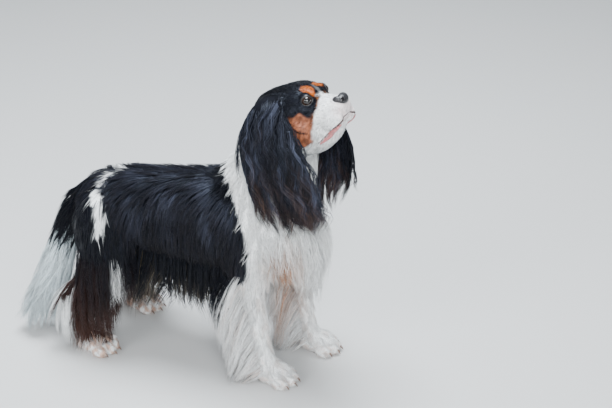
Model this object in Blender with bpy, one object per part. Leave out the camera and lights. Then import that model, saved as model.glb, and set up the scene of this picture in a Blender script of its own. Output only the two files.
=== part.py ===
"""A small long-coated spaniel, life size, standing on four feet and looking up.

Metres, X forward, Y to the dog's left, Z up from the floor. The flesh is lofted from a few
stations for each mass, fused into one body, and parted into named pieces with thin cuts. The
long coat is grown on the pieces as flat tapered locks that hang along its lie.
"""

import math
import random

import bmesh
import bpy
from mathutils import Matrix, Vector
from mathutils.bvhtree import BVHTree

# Sizes that more than one piece uses
GAP = 0.0003
FINE_VOXEL = 0.0022
COARSE_VOXEL = 0.0040
HEAD_TRIANGLES = 9600
LIMB_TRIANGLES = 4600
TRUNK_TRIANGLES = 2300
RING_SIDES = 24
SEED = 7
UP = Vector((0.0, 0.0, 1.0))
DOWN = -UP
ACROSS = Vector((0.0, 1.0, 0.0))

# The head hangs on the neck at the midpoint between the eyes, raised and turned to the dog's right
HEAD_AT = Vector((0.192, -0.015, 0.459))
HEAD_TURN = math.radians(-12)
HEAD_RAISE = math.radians(19)
HEAD = (
    Matrix.Translation(HEAD_AT)
    @ Matrix.Rotation(HEAD_TURN, 4, "Z")
    @ Matrix.Rotation(-HEAD_RAISE, 4, "Y")
)

# Where each foot stands: the middle of the paw, right side first
FORE_PAW_RIGHT = Vector((0.138, -0.055, 0.0))
FORE_PAW_LEFT = Vector((0.171, 0.048, 0.0))
HIND_PAW_RIGHT = Vector((-0.152, -0.067, 0.0))
HIND_PAW_LEFT = Vector((-0.138, 0.070, 0.0))

# Stations of the trunk: x, height of its middle, half width, half depth
TRUNK = (
    (-0.189, 0.222, 0.020, 0.024),
    (-0.174, 0.223, 0.045, 0.046),
    (-0.145, 0.223, 0.062, 0.060),
    (-0.090, 0.229, 0.068, 0.064),
    (-0.030, 0.230, 0.074, 0.071),
    (0.030, 0.232, 0.079, 0.079),
    (0.085, 0.233, 0.078, 0.083),
    (0.130, 0.234, 0.067, 0.075),
    (0.165, 0.238, 0.047, 0.055),
    (0.184, 0.242, 0.024, 0.030),
)

# Stations of the neck: middle, half width, half depth
NECK = (
    ((0.076, 0.000, 0.258), 0.060, 0.070),
    ((0.112, -0.001, 0.314), 0.053, 0.059),
    ((0.136, -0.005, 0.362), 0.047, 0.050),
    ((0.149, -0.009, 0.410), 0.043, 0.044),
)

# Stations along the head, from the occiput to the lips: x, height of its middle, half width, half depth
SKULL = (
    (-0.099, -0.026, 0.020, 0.016),
    (-0.086, -0.024, 0.036, 0.031),
    (-0.055, -0.024, 0.046, 0.039),
    (-0.028, -0.027, 0.045, 0.043),
    (-0.012, -0.033, 0.038, 0.041),
    (0.001, -0.037, 0.029, 0.035),
    (0.012, -0.037, 0.020, 0.025),
)
MUZZLE = (
    (-0.012, -0.030, 0.034, 0.029),
    (0.008, -0.027, 0.029, 0.0245),
    (0.022, -0.0250, 0.0240, 0.0200),
    (0.033, -0.0232, 0.0200, 0.0170),
    (0.0395, -0.0230, 0.0148, 0.0128),
    (0.0425, -0.0230, 0.0080, 0.0070),
)
LOWER_JAW = (
    (-0.052, -0.060, 0.030, 0.022),
    (-0.022, -0.066, 0.028, 0.018),
    (0.004, -0.059, 0.022, 0.0125),
    (0.021, -0.0495, 0.0165, 0.0085),
    (0.030, -0.0445, 0.0105, 0.0055),
)

EYE_AT = Vector((-0.0072, 0.0190, -0.0008))
EYE_RADIUS = 0.0098
EYE_LOOK = (0.64, 0.76, 0.10)
LID_OPENING = (0.0080, 0.0070)
CORNEA_RADIUS = 0.0066
CORNEA_AHEAD = 0.0050
NOSE_AT = Vector((0.0372, 0.0, -0.0122))
NOSE_HALF = Vector((0.0078, 0.0112, 0.0080))
NOSTRIL_HALF = Vector((0.0044, 0.0022, 0.0030))

# Stations down a leg, set out from the middle of its paw: middle, half width, half depth
FORELEG = (
    ((-0.046, 0.014, 0.252), 0.006, 0.012),
    ((-0.045, 0.006, 0.225), 0.022, 0.034),
    ((-0.040, 0.002, 0.190), 0.026, 0.036),
    ((-0.037, 0.000, 0.155), 0.020, 0.025),
    ((-0.027, 0.000, 0.115), 0.016, 0.0185),
    ((-0.020, 0.000, 0.072), 0.0145, 0.0165),
    ((-0.015, 0.000, 0.045), 0.0150, 0.0165),
    ((-0.006, 0.000, 0.026), 0.0155, 0.0160),
)
HINDLEG = (
    ((0.020, 0.024, 0.268), 0.008, 0.016),
    ((0.022, 0.016, 0.238), 0.030, 0.044),
    ((0.024, 0.010, 0.200), 0.030, 0.050),
    ((0.026, 0.004, 0.160), 0.026, 0.042),
    ((0.004, 0.002, 0.122), 0.0195, 0.030),
    ((-0.034, 0.000, 0.088), 0.0145, 0.0200),
    ((-0.036, 0.000, 0.064), 0.0135, 0.0155),
    ((-0.022, 0.000, 0.036), 0.0135, 0.0150),
    ((-0.006, 0.000, 0.024), 0.0150, 0.0150),
)
PAW_HALF = Vector((0.030, 0.021, 0.019))
TOE_HALF = Vector((0.0135, 0.0075, 0.0105))
TOE_SPREAD = (-0.0190, -0.0066, 0.0066, 0.0190)
TOE_REACH = (0.016, 0.025, 0.025, 0.016)

# Stations of the tail: middle, half width, half depth
TAIL = (
    ((-0.170, 0.000, 0.247), 0.016, 0.016),
    ((-0.196, -0.004, 0.222), 0.014, 0.015),
    ((-0.211, -0.015, 0.174), 0.011, 0.012),
    ((-0.221, -0.024, 0.132), 0.009, 0.010),
    ((-0.235, -0.034, 0.092), 0.007, 0.008),
    ((-0.250, -0.043, 0.058), 0.004, 0.004),
)

# The ear hangs straight down from its root: height, back edge, front edge, stand-off from the root
EAR_ROOT = Vector((-0.043, 0.040, 0.010))
EAR_LEATHER = (
    (0.002, -0.020, 0.020, -0.012),
    (-0.006, -0.028, 0.026, 0.004),
    (-0.026, -0.036, 0.034, 0.012),
    (-0.052, -0.042, 0.048, 0.016),
    (-0.078, -0.044, 0.059, 0.018),
    (-0.100, -0.038, 0.065, 0.017),
    (-0.114, -0.016, 0.060, 0.016),
)
EAR_ROOT_SLOPE = 0.34
EAR_HALF_THICKNESS = 0.0022
EAR_CUP = 0.007
EAR_CLEAR = 0.0040

# Locks of the long coat
LOCK_RINGS = 3
EAR_RINGS = 4
LOCK_SINK = 0.0040
LOCK_THICKNESS = 0.26
LOCK_CLEAR = 0.0004
LOCK_LIFT = 0.0006
FLOOR_CLEAR = 0.0004

# Rows of locks. Ears: how far down the leather, how many, length, width
EAR_ROWS = (
    (0.30, 3, 0.100, 0.024),
    (0.62, 4, 0.100, 0.022),
    (0.94, 6, 0.088, 0.019),
)
EAR_SWEEP = {"right": 0.26, "left": 0.20}
EAR_HAIR = {"right": 1.0, "left": 1.08}
# Chest: height, how far round to each side in degrees, how many, length, width
CHEST_ROWS = (
    (0.330, 42, 3, 0.070, 0.026),
    (0.296, 54, 4, 0.072, 0.027),
    (0.260, 68, 4, 0.074, 0.028),
    (0.224, 62, 4, 0.076, 0.027),
    (0.188, 44, 3, 0.072, 0.024),
)
CHEST_AXIS_X = 0.105
# Belly: height, first x, last x, how many on each side, length, width
BELLY_ROWS = (
    (0.205, -0.080, 0.060, 4, 0.066, 0.030),
    (0.180, -0.075, 0.070, 6, 0.068, 0.026),
)
BELLY_LOW_ROW = (-0.050, 0.050, 5, 0.062, 0.020)
# Legs: share of the way down, how far round from straight back in degrees, length, width
FORE_FEATHER = (
    (0.08, -25, 0.085, 0.020),
    (0.12, 25, 0.080, 0.020),
    (0.24, 0, 0.098, 0.020),
    (0.34, -30, 0.086, 0.018),
    (0.40, 30, 0.080, 0.018),
    (0.50, 5, 0.078, 0.019),
    (0.60, -32, 0.056, 0.016),
    (0.64, 32, 0.054, 0.016),
    (0.76, 0, 0.042, 0.016),
)
HIND_FEATHER = (
    (0.06, -12, 0.085, 0.022),
    (0.10, 34, 0.080, 0.020),
    (0.24, -34, 0.070, 0.020),
    (0.30, 8, 0.074, 0.020),
    (0.48, -20, 0.058, 0.018),
    (0.52, 22, 0.056, 0.018),
    (0.66, 0, 0.052, 0.018),
    (0.76, -34, 0.042, 0.015),
    (0.08, 168, 0.072, 0.020),
    (0.12, 206, 0.064, 0.018),
    (0.28, 180, 0.062, 0.017),
    (0.36, 150, 0.048, 0.015),
)
# Tail: share of the way down, turn round it in degrees from its rear, length, width
TAIL_PLUME = (
    (0.24, 150, 0.056, 0.016),
    (0.28, -150, 0.058, 0.016),
    (0.34, -80, 0.076, 0.018),
    (0.38, 80, 0.074, 0.018),
    (0.44, 10, 0.092, 0.020),
    (0.50, 180, 0.070, 0.016),
    (0.54, -45, 0.096, 0.018),
    (0.58, 50, 0.094, 0.018),
    (0.64, 0, 0.096, 0.020),
    (0.68, -90, 0.080, 0.016),
    (0.72, 100, 0.078, 0.016),
    (0.78, 25, 0.082, 0.018),
    (0.82, -35, 0.080, 0.018),
    (0.88, 0, 0.072, 0.016),
    (0.93, 60, 0.062, 0.014),
    (0.96, -60, 0.060, 0.014),
)

# Cuts that part the body: a point on the plane and its tilt forward from level, and the legs' blocks
HEAD_CUT = Vector((-0.062, 0.0, -0.062))
HEAD_CUT_TILT = math.radians(15)
NECK_CUT = Vector((0.110, 0.0, 0.283))
NECK_CUT_TILT = math.radians(26)
FORE_BLOCK = ((0.030, 0.014, -0.050), (0.240, 0.140, 0.150))
HIND_BLOCK = ((-0.260, 0.012, -0.050), (-0.060, 0.140, 0.163))

NOSE_VOXEL = 0.0008
NOSE_TRIANGLES = 380
NOSE_WING_AT = Vector((0.0338, 0.0078, -0.0108))
NOSE_WING_HALF = Vector((0.0074, 0.0050, 0.0058))
NOSTRIL_AT = Vector((0.0418, 0.0066, -0.0108))
TAIL_TRIANGLES = 200

MOUTH_LINE = ((0.004, 0.034, -0.059), (0.018, 0.028, -0.050), (0.031, 0.020, -0.041), (0.043, 0.007, -0.033))
MOUTH_HEART = (0.010, 0.0)
MOUTH_HALF_GAP = 0.0006
MOUTH_DEPTH = 0.0045

# Colour and roughness of each kind of node
FINISH = {
    "head": ((0.030, 0.028, 0.030), 0.65),
    "neck": ((0.80, 0.77, 0.72), 0.75),
    "torso": ((0.022, 0.022, 0.026), 0.60),
    "foreleg": ((0.82, 0.78, 0.72), 0.75),
    "hindleg": ((0.050, 0.034, 0.026), 0.65),
    "tail": ((0.78, 0.76, 0.74), 0.75),
    "ear": ((0.025, 0.022, 0.022), 0.60),
    "eye": ((0.020, 0.010, 0.006), 0.08),
    "nose": ((0.018, 0.016, 0.018), 0.40),
}


def clear_scene():
    for thing in list(bpy.data.objects):
        bpy.data.objects.remove(thing)


def material(name, colour, roughness):
    """A plain finish: one colour at one roughness."""
    made = bpy.data.materials.new(name)
    made.use_nodes = True
    shader = made.node_tree.nodes["Principled BSDF"]
    shader.inputs["Base Color"].default_value = (*colour, 1.0)
    shader.inputs["Roughness"].default_value = roughness
    shader.inputs["Metallic"].default_value = 0.0
    return made


def object_from(name, bm):
    """A linked object whose mesh is the one in bm, which is then freed."""
    mesh = bpy.data.meshes.new(name)
    bm.to_mesh(mesh)
    bm.free()
    thing = bpy.data.objects.new(name, mesh)
    bpy.context.scene.collection.objects.link(thing)
    return thing


def between(a, b, share):
    return a + (b - a) * share


def smooth_value(values, place):
    """Catmull-Rom through values, at place from 0 to the last index."""
    last = len(values) - 1
    i = min(int(place), last - 1)
    t = place - i
    before, here, there, after = (values[max(0, min(last, j))] for j in (i - 1, i, i + 1, i + 2))
    return 0.5 * (
        2 * here
        + (there - before) * t
        + (2 * before - 5 * here + 4 * there - after) * t * t
        + (3 * here - before - 3 * there + after) * t * t * t
    )


def ring_frame(middle, along, half_width, half_depth):
    """A unit circle's matrix at middle: its x across the dog, its y the other way round the limb."""
    across = (ACROSS - along * ACROSS.dot(along)).normalized()
    deep = along.cross(across)
    turn = Matrix((across, deep, along)).transposed().to_4x4()
    return Matrix.Translation(middle) @ turn @ Matrix.Diagonal((half_width, half_depth, 1.0, 1.0))


def add_loft(bm, stations, place=Matrix(), steps=3):
    """A closed round form through (middle, half width, half depth) stations, with smooth flow between them."""
    middles = [Vector(s[0]) for s in stations]
    widths = [s[1] for s in stations]
    depths = [s[2] for s in stations]
    count = (len(stations) - 1) * steps + 1
    spots = [i / steps for i in range(count)]
    path = [smooth_value(middles, s) for s in spots]
    rings = []
    for i, spot in enumerate(spots):
        along = (path[min(i + 1, count - 1)] - path[max(i - 1, 0)]).normalized()
        frame = ring_frame(path[i], along, smooth_value(widths, spot), smooth_value(depths, spot))
        circle = bmesh.ops.create_circle(bm, segments=RING_SIDES, radius=1.0, matrix=place @ frame)
        rings.append(ring_edges(circle["verts"]))
    for first, second in zip(rings, rings[1:]):
        bmesh.ops.bridge_loops(bm, edges=first + second)
    for end in (rings[0], rings[-1]):
        bmesh.ops.contextual_create(bm, geom=end)


def ring_edges(verts):
    """The edges that join these vertices to one another."""
    chosen = set(verts)
    return list({e for v in verts for e in v.link_edges if e.other_vert(v) in chosen})


def level_stations(rows):
    """Stations given as x, height, half width and half depth, on the middle plane."""
    return [((x, 0.0, z), width, depth) for x, z, width, depth in rows]


def add_ellipsoid(bm, middle, half, place=Matrix(), turn=Matrix(), sides=20):
    size = Matrix.Diagonal((*half, 1.0))
    frame = place @ Matrix.Translation(middle) @ turn @ size
    bmesh.ops.create_uvsphere(bm, u_segments=sides, v_segments=sides * 2 // 3, radius=1.0, matrix=frame)


def mirrored(point, side):
    return Vector((point[0], point[1] * side, point[2]))


def add_head(bm):
    add_loft(bm, level_stations(SKULL), HEAD)
    add_loft(bm, level_stations(MUZZLE), HEAD)
    add_loft(bm, level_stations(LOWER_JAW), HEAD)
    for side in (-1, 1):
        # cheek, upper lip, brow and the rim of the eye socket
        add_ellipsoid(bm, mirrored((-0.032, 0.030, -0.042), side), (0.030, 0.019, 0.030), HEAD)
        add_ellipsoid(bm, mirrored((0.020, 0.0160, -0.0350), side), (0.0205, 0.0110, 0.0150), HEAD)
        add_ellipsoid(bm, mirrored((-0.019, 0.0160, 0.0025), side), (0.0145, 0.0115, 0.0075), HEAD)
        add_ellipsoid(bm, mirrored(EYE_AT, side), (0.0110, 0.0112, 0.0110), HEAD)


def leg_stations(table, paw, side):
    """Stations set out from a paw. Inward offsets in the table point to the dog's middle."""
    return [
        (paw + Vector((x, -y * side, z)), width, depth) for (x, y, z), width, depth in table
    ]


def add_leg(bm, table, paw, side):
    add_loft(bm, leg_stations(table, paw, side))
    add_ellipsoid(bm, paw + Vector((0.0, 0.0, 0.015)), PAW_HALF)
    for spread, reach in zip(TOE_SPREAD, TOE_REACH):
        add_ellipsoid(bm, paw + Vector((reach, spread, 0.0085)), TOE_HALF)


def make_flesh():
    """All masses of the body as closed forms that overlap, in one mesh."""
    bm = bmesh.new()
    add_loft(bm, level_stations(TRUNK))
    add_loft(bm, NECK)
    add_head(bm)
    add_leg(bm, FORELEG, FORE_PAW_RIGHT, -1)
    add_leg(bm, FORELEG, FORE_PAW_LEFT, 1)
    add_leg(bm, HINDLEG, HIND_PAW_RIGHT, -1)
    add_leg(bm, HINDLEG, HIND_PAW_LEFT, 1)
    bmesh.ops.recalc_face_normals(bm, faces=bm.faces)
    return object_from("flesh", bm)


def apply_modifiers(thing):
    """Replaces an object's mesh by what its modifiers make of it."""
    bpy.context.view_layer.update()
    evaluated = thing.evaluated_get(bpy.context.evaluated_depsgraph_get())
    mesh = bpy.data.meshes.new_from_object(evaluated)
    thing.modifiers.clear()
    thing.data = mesh


def fused(source, name, voxel, smoothing, triangles):
    """One smooth closed skin round the masses of source, of about that many triangles."""
    thing = bpy.data.objects.new(name, source.data.copy())
    bpy.context.scene.collection.objects.link(thing)
    remesh = thing.modifiers.new("fuse", "REMESH")
    remesh.mode = "VOXEL"
    remesh.voxel_size = voxel
    relax = thing.modifiers.new("relax", "SMOOTH")
    relax.factor = 0.5
    relax.iterations = smoothing
    apply_modifiers(thing)
    thin = thing.modifiers.new("thin", "DECIMATE")
    thin.ratio = min(1.0, triangles / (2.0 * len(thing.data.polygons)))
    thin.use_collapse_triangulate = True
    apply_modifiers(thing)
    return thing


def cut(thing, other, operation):
    step = thing.modifiers.new("cut", "BOOLEAN")
    step.operation = operation
    step.solver = "MANIFOLD"
    step.object = other
    apply_modifiers(thing)


def keep_largest(thing):
    """Keeps only the largest closed surface of a mesh."""
    bm = bmesh.new()
    bm.from_mesh(thing.data)
    left = set(bm.faces)
    shells = []
    while left:
        start = left.pop()
        shell, front = {start}, [start]
        while front:
            face = front.pop()
            for edge in face.edges:
                for other in edge.link_faces:
                    if other in left:
                        left.remove(other)
                        shell.add(other)
                        front.append(other)
        shells.append(shell)
    shells.sort(key=lambda shell: sum(face.calc_area() for face in shell))
    for shell in shells[:-1]:
        bmesh.ops.delete(bm, geom=list(shell), context="FACES")
    bm.to_mesh(thing.data)
    bm.free()


def box(name, low, high):
    low, high = Vector(low), Vector(high)
    bm = bmesh.new()
    frame = Matrix.Translation((low + high) / 2) @ Matrix.Diagonal((*(high - low), 1.0))
    bmesh.ops.create_cube(bm, size=1.0, matrix=frame)
    return object_from(name, bm)


def above(name, point, tilt, half, lift=0.0):
    """A box whose underside passes through point, tilted forward; lift moves it along its normal."""
    frame = (
        Matrix.Translation(point)
        @ Matrix.Rotation(tilt, 4, "Y")
        @ Matrix.Translation((0.0, 0.0, half + lift))
        @ Matrix.Diagonal((2 * half, 2 * half, 2 * half, 1.0))
    )
    bm = bmesh.new()
    bmesh.ops.create_cube(bm, size=1.0, matrix=frame)
    return object_from(name, bm)


def grown_copy(thing, by):
    """A copy whose surface lies that much further out."""
    bm = bmesh.new()
    bm.from_mesh(thing.data)
    bm.normal_update()
    moves = [vert.normal * by for vert in bm.verts]
    for vert, move in zip(bm.verts, moves):
        vert.co += move
    return object_from(thing.name + "_grown", bm)


def remove(things):
    for thing in things:
        bpy.data.objects.remove(thing)


def copy_of(thing, name):
    made = bpy.data.objects.new(name, thing.data.copy())
    bpy.context.scene.collection.objects.link(made)
    return made


def piece_of(whole, name, inside=(), outside=()):
    """The part of whole that lies in every cutter of inside and clear of every one of outside."""
    made = copy_of(whole, name)
    for cutter in inside:
        cut(made, cutter, "INTERSECT")
    for cutter in outside:
        cut(made, cutter, "DIFFERENCE")
    keep_largest(made)
    return made


def leg_box(name, low, high, side, grow):
    """The block that a leg is parted with, on one side, grown by the gap on its inner and top faces."""
    near, far = sorted((low[1] - grow, high[1]))
    ends = sorted((near * side, far * side))
    return box(name, (low[0] - grow, ends[0], low[2]), (high[0] + grow, ends[1], high[2] + grow))


def part_flesh():
    """Parts the fused body into head, neck, torso and legs."""
    flesh = make_flesh()
    fine = fused(flesh, "fine", FINE_VOXEL, 5, HEAD_TRIANGLES)
    limb = fused(flesh, "limb", FINE_VOXEL, 5, LIMB_TRIANGLES)
    trunk = fused(flesh, "trunk", COARSE_VOXEL, 4, TRUNK_TRIANGLES)
    head_space = above("head_space", HEAD @ HEAD_CUT, HEAD_CUT_TILT, 0.12)
    below_head = above("below_head", HEAD @ HEAD_CUT, HEAD_CUT_TILT, 0.12, -GAP)
    neck_space = above("neck_space", NECK_CUT, NECK_CUT_TILT, 0.16)
    below_neck = above("below_neck", NECK_CUT, NECK_CUT_TILT, 0.16, -GAP)
    pieces = {
        "head": piece_of(fine, "head", [head_space]),
        "neck": piece_of(trunk, "neck", [neck_space], [below_head]),
    }
    cutters = [head_space, below_head, neck_space, below_neck]
    gaps = [below_neck]
    for end, low, high in (("fore", *FORE_BLOCK), ("hind", *HIND_BLOCK)):
        for side, word in ((-1, "right"), (1, "left")):
            block = leg_box("block", low, high, side, 0.0)
            room = leg_box("room", low, high, side, GAP)
            name = f"{end}leg_{word}"
            pieces[name] = piece_of(limb, name, [block])
            gaps.append(room)
            cutters += [block, room]
    pieces["torso"] = piece_of(trunk, "torso", [], gaps)
    whole = tree_of(limb)
    remove(cutters + [flesh, fine, limb, trunk])
    return pieces, whole


def turned_to(direction):
    """The turn that takes +X to direction and keeps the top up."""
    return Vector(direction).to_track_quat("X", "Z").to_matrix().to_4x4()


def make_eye(name, side):
    """An eyeball with the bulge of the cornea, turned to the side as in life."""
    bm = bmesh.new()
    look = turned_to(mirrored(EYE_LOOK, side))
    frame = HEAD @ Matrix.Translation(mirrored(EYE_AT, side)) @ look
    frame = frame @ Matrix.Rotation(math.radians(90), 4, "Y")
    bmesh.ops.create_uvsphere(bm, u_segments=16, v_segments=12, radius=EYE_RADIUS)
    reach = CORNEA_AHEAD + CORNEA_RADIUS
    for vert in bm.verts:
        off_axis = math.hypot(vert.co.x, vert.co.y)
        if vert.co.z > 0 and off_axis < CORNEA_RADIUS:
            rise = CORNEA_AHEAD + math.sqrt(CORNEA_RADIUS ** 2 - off_axis ** 2)
            vert.co.z = max(vert.co.z, min(rise, reach))
    bmesh.ops.transform(bm, matrix=frame, verts=bm.verts)
    return object_from(name, bm)


def open_eyes(head):
    """Hollows a socket for each eyeball and opens the lids over it."""
    for side in (-1, 1):
        look = turned_to(mirrored(EYE_LOOK, side))
        frame = HEAD @ Matrix.Translation(mirrored(EYE_AT, side)) @ look
        bm = bmesh.new()
        bmesh.ops.create_uvsphere(
            bm, u_segments=18, v_segments=12, radius=EYE_RADIUS + 2 * GAP, matrix=frame
        )
        socket = object_from("socket", bm)
        bm = bmesh.new()
        length = 0.03
        opening = (
            frame
            @ Matrix.Translation((length / 2, 0.0, 0.0))
            @ Matrix.Rotation(math.radians(90), 4, "Y")
            @ Matrix.Diagonal((LID_OPENING[1], LID_OPENING[0], length, 1.0))
        )
        bmesh.ops.create_cone(
            bm, cap_ends=True, segments=18, radius1=1.0, radius2=1.25, depth=1.0, matrix=opening
        )
        slit = object_from("slit", bm)
        cut(head, socket, "DIFFERENCE")
        cut(head, slit, "DIFFERENCE")
        remove([socket, slit])


def nose_forms(bm, grow):
    """The pad of the nose and its two wings."""
    grown = Vector((grow, grow, grow))
    add_ellipsoid(bm, NOSE_AT, NOSE_HALF + grown, HEAD)
    for side in (-1, 1):
        add_ellipsoid(bm, mirrored(NOSE_WING_AT, side), NOSE_WING_HALF + grown, HEAD)


def make_nose():
    bm = bmesh.new()
    nose_forms(bm, 0.0)
    rough = object_from("rough", bm)
    nose = fused(rough, "nose", NOSE_VOXEL, 3, NOSE_TRIANGLES)
    for side in (-1, 1):
        bm = bmesh.new()
        turn = Matrix.Rotation(math.radians(28) * side, 4, "X")
        add_ellipsoid(bm, mirrored(NOSTRIL_AT, side), NOSTRIL_HALF, HEAD, turn, 10)
        nostril = object_from("nostril", bm)
        cut(nose, nostril, "DIFFERENCE")
        remove([nostril])
    remove([rough])
    keep_largest(nose)
    return nose


def seat_nose(head, nose):
    """Clears the head round the pad of the nose."""
    bm = bmesh.new()
    nose_forms(bm, GAP)
    bmesh.ops.recalc_face_normals(bm, faces=bm.faces)
    rough = object_from("rough", bm)
    seat = fused(rough, "seat", NOSE_VOXEL, 3, NOSE_TRIANGLES)
    seat_grown = grown_copy(seat, GAP)
    cut(head, seat_grown, "DIFFERENCE")
    remove([rough, seat, seat_grown])


def add_band(bm, rows):
    """A closed band through rows of four points: its skin, one ring for each row, and two end caps."""
    rings = []
    for row in rows:
        verts = [bm.verts.new(point) for point in row]
        rings.append(verts)
    for first, second in zip(rings, rings[1:]):
        for i in range(4):
            j = (i + 1) % 4
            bm.faces.new((first[i], first[j], second[j], second[i]))
    bm.faces.new(reversed(rings[0]))
    bm.faces.new(rings[-1])


def cut_mouth(head):
    """Parts the lips with a narrow slot from one corner of the mouth round the front to the other."""
    path = [Vector(p) for p in MOUTH_LINE]
    path = [mirrored(p, -1) for p in path] + [mirrored(p, 1) for p in reversed(path)]
    count = 18
    spots = [smooth_value(path, i * (len(path) - 1) / count) for i in range(count + 1)]
    rows = []
    for i, spot in enumerate(spots):
        inward = Vector((MOUTH_HEART[0] - spot.x, -spot.y, 0.0)).normalized()
        ends = min(i, count - i) / 3
        half = MOUTH_HALF_GAP * min(1.0, 0.45 + 0.55 * ends)
        lift = Vector((0.28, 0.0, 0.96)) * half
        inner = spot + inward * MOUTH_DEPTH
        outer = spot - inward * 0.010
        rows.append([HEAD @ p for p in (inner - lift, outer - lift, outer + lift, inner + lift)])
    bm = bmesh.new()
    add_band(bm, rows)
    bmesh.ops.recalc_face_normals(bm, faces=bm.faces)
    slot = object_from("slot", bm)
    cut(head, slot, "DIFFERENCE")
    remove([slot])


def signed_distance(tree, point):
    """Distance from a closed surface, below nothing inside it, with the way out."""
    spot, normal, _, distance = tree.find_nearest(point)
    away = point - spot
    if away.dot(normal) < 0:
        return -distance, normal
    return distance, (away / distance if distance > 1e-9 else normal)


def tree_of(thing):
    bm = bmesh.new()
    bm.from_mesh(thing.data)
    tree = BVHTree.FromBMesh(bm)
    bm.free()
    return tree


def ear_frame(side):
    """Hangs the ear from its root: turned as the head is, but plumb."""
    return Matrix.Translation(HEAD @ mirrored(EAR_ROOT, side)) @ Matrix.Rotation(HEAD_TURN, 4, "Z")


def ear_point(side, length_share, width_share):
    """A point of the middle of the ear's leather: shares run root to tip and back to front."""
    place = length_share * (len(EAR_LEATHER) - 1)
    height, back, front, stand = (
        smooth_value([row[i] for row in EAR_LEATHER], place) for i in range(4)
    )
    bulge = EAR_CUP * (1 - (2 * width_share - 1) ** 2) * min(1.0, 2 * length_share)
    forward = between(back, front, width_share)
    height += forward * EAR_ROOT_SLOPE * max(0.0, 1 - 2.5 * length_share)
    return ear_frame(side) @ mirrored((forward, stand + bulge, height), side)


def make_ear(name, side, flesh):
    """The leather of the ear: a cupped flap that lies clear of the neck and cheek."""
    long_steps, wide_steps = 9, 7
    outward = ear_frame(side).to_3x3() @ Vector((0.0, side, 0.0))
    grid = []
    for i in range(long_steps + 1):
        row = []
        for j in range(wide_steps + 1):
            point = ear_point(side, i / long_steps, j / wide_steps)
            for _ in range(8 if i > 1 else 0):
                distance, _ = signed_distance(flesh, point)
                if distance < EAR_CLEAR:
                    point = point + outward * max(0.0005, EAR_CLEAR - distance)
            row.append(point)
        grid.append(row)
    bm = bmesh.new()
    layers = []
    for shift in (-EAR_HALF_THICKNESS, EAR_HALF_THICKNESS):
        layers.append([[bm.verts.new(p + outward * shift) for p in row] for row in grid])
    inner, outer = layers
    for i in range(long_steps):
        for j in range(wide_steps):
            bm.faces.new((inner[i][j], inner[i + 1][j], inner[i + 1][j + 1], inner[i][j + 1]))
            bm.faces.new((outer[i][j], outer[i][j + 1], outer[i + 1][j + 1], outer[i + 1][j]))
    rim = [(i, 0) for i in range(long_steps + 1)]
    rim += [(long_steps, j) for j in range(1, wide_steps + 1)]
    rim += [(i, wide_steps) for i in range(long_steps - 1, -1, -1)]
    rim += [(0, j) for j in range(wide_steps - 1, 0, -1)]
    for (a, b), (c, d) in zip(rim, rim[1:] + rim[:1]):
        bm.faces.new((inner[a][b], inner[c][d], outer[c][d], outer[a][b]))
    bmesh.ops.recalc_face_normals(bm, faces=bm.faces)
    return object_from(name, bm)


def make_tail():
    bm = bmesh.new()
    add_loft(bm, TAIL)
    bmesh.ops.recalc_face_normals(bm, faces=bm.faces)
    rough = object_from("rough", bm)
    tail = fused(rough, "tail", COARSE_VOXEL / 2, 2, TAIL_TRIANGLES)
    remove([rough])
    return tail


def clear_of(thing, others):
    """Cuts thing back to the gap from each of the others."""
    for other in others:
        grown = grown_copy(other, GAP)
        cut(thing, grown, "DIFFERENCE")
        remove([grown])
    keep_largest(thing)


def flatten_soles(thing):
    """Levels the underside of a paw into the small flats that it stands on."""
    sole = box("sole", (-0.5, -0.5, -0.1), (0.5, 0.5, 0.0))
    cut(thing, sole, "DIFFERENCE")
    remove([sole])
    keep_largest(thing)


def lock_rings(points, normals, width):
    """The rings of a flat lock that is widest a third of the way along, and its tip."""
    count = len(points) - 1
    rings = []
    for i in range(count):
        share = i / count
        along = (points[i + 1] - points[max(i - 1, 0)]).normalized()
        side = along.cross(normals[i]).normalized()
        deep = side.cross(along)
        swell = math.sin(math.pi * (0.26 + 0.66 * share)) ** 0.8
        half = width * swell / 2
        thick = max(0.0007, half * LOCK_THICKNESS)
        rings.append((
            points[i] - side * half,
            points[i] - deep * thick,
            points[i] + side * half,
            points[i] + deep * thick,
        ))
    return rings, points[-1]


def lock_mesh(rings, tip):
    bm = bmesh.new()
    rows = [[bm.verts.new(point) for point in ring] for ring in rings]
    for first, second in zip(rows, rows[1:]):
        for i in range(4):
            j = (i + 1) % 4
            bm.faces.new((first[i], first[j], second[j], second[i]))
    end = bm.verts.new(tip)
    for i in range(4):
        bm.faces.new((rows[-1][i], rows[-1][(i + 1) % 4], end))
    bm.faces.new(reversed(rows[0]))
    bmesh.ops.recalc_face_normals(bm, faces=bm.faces)
    return bm


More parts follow.
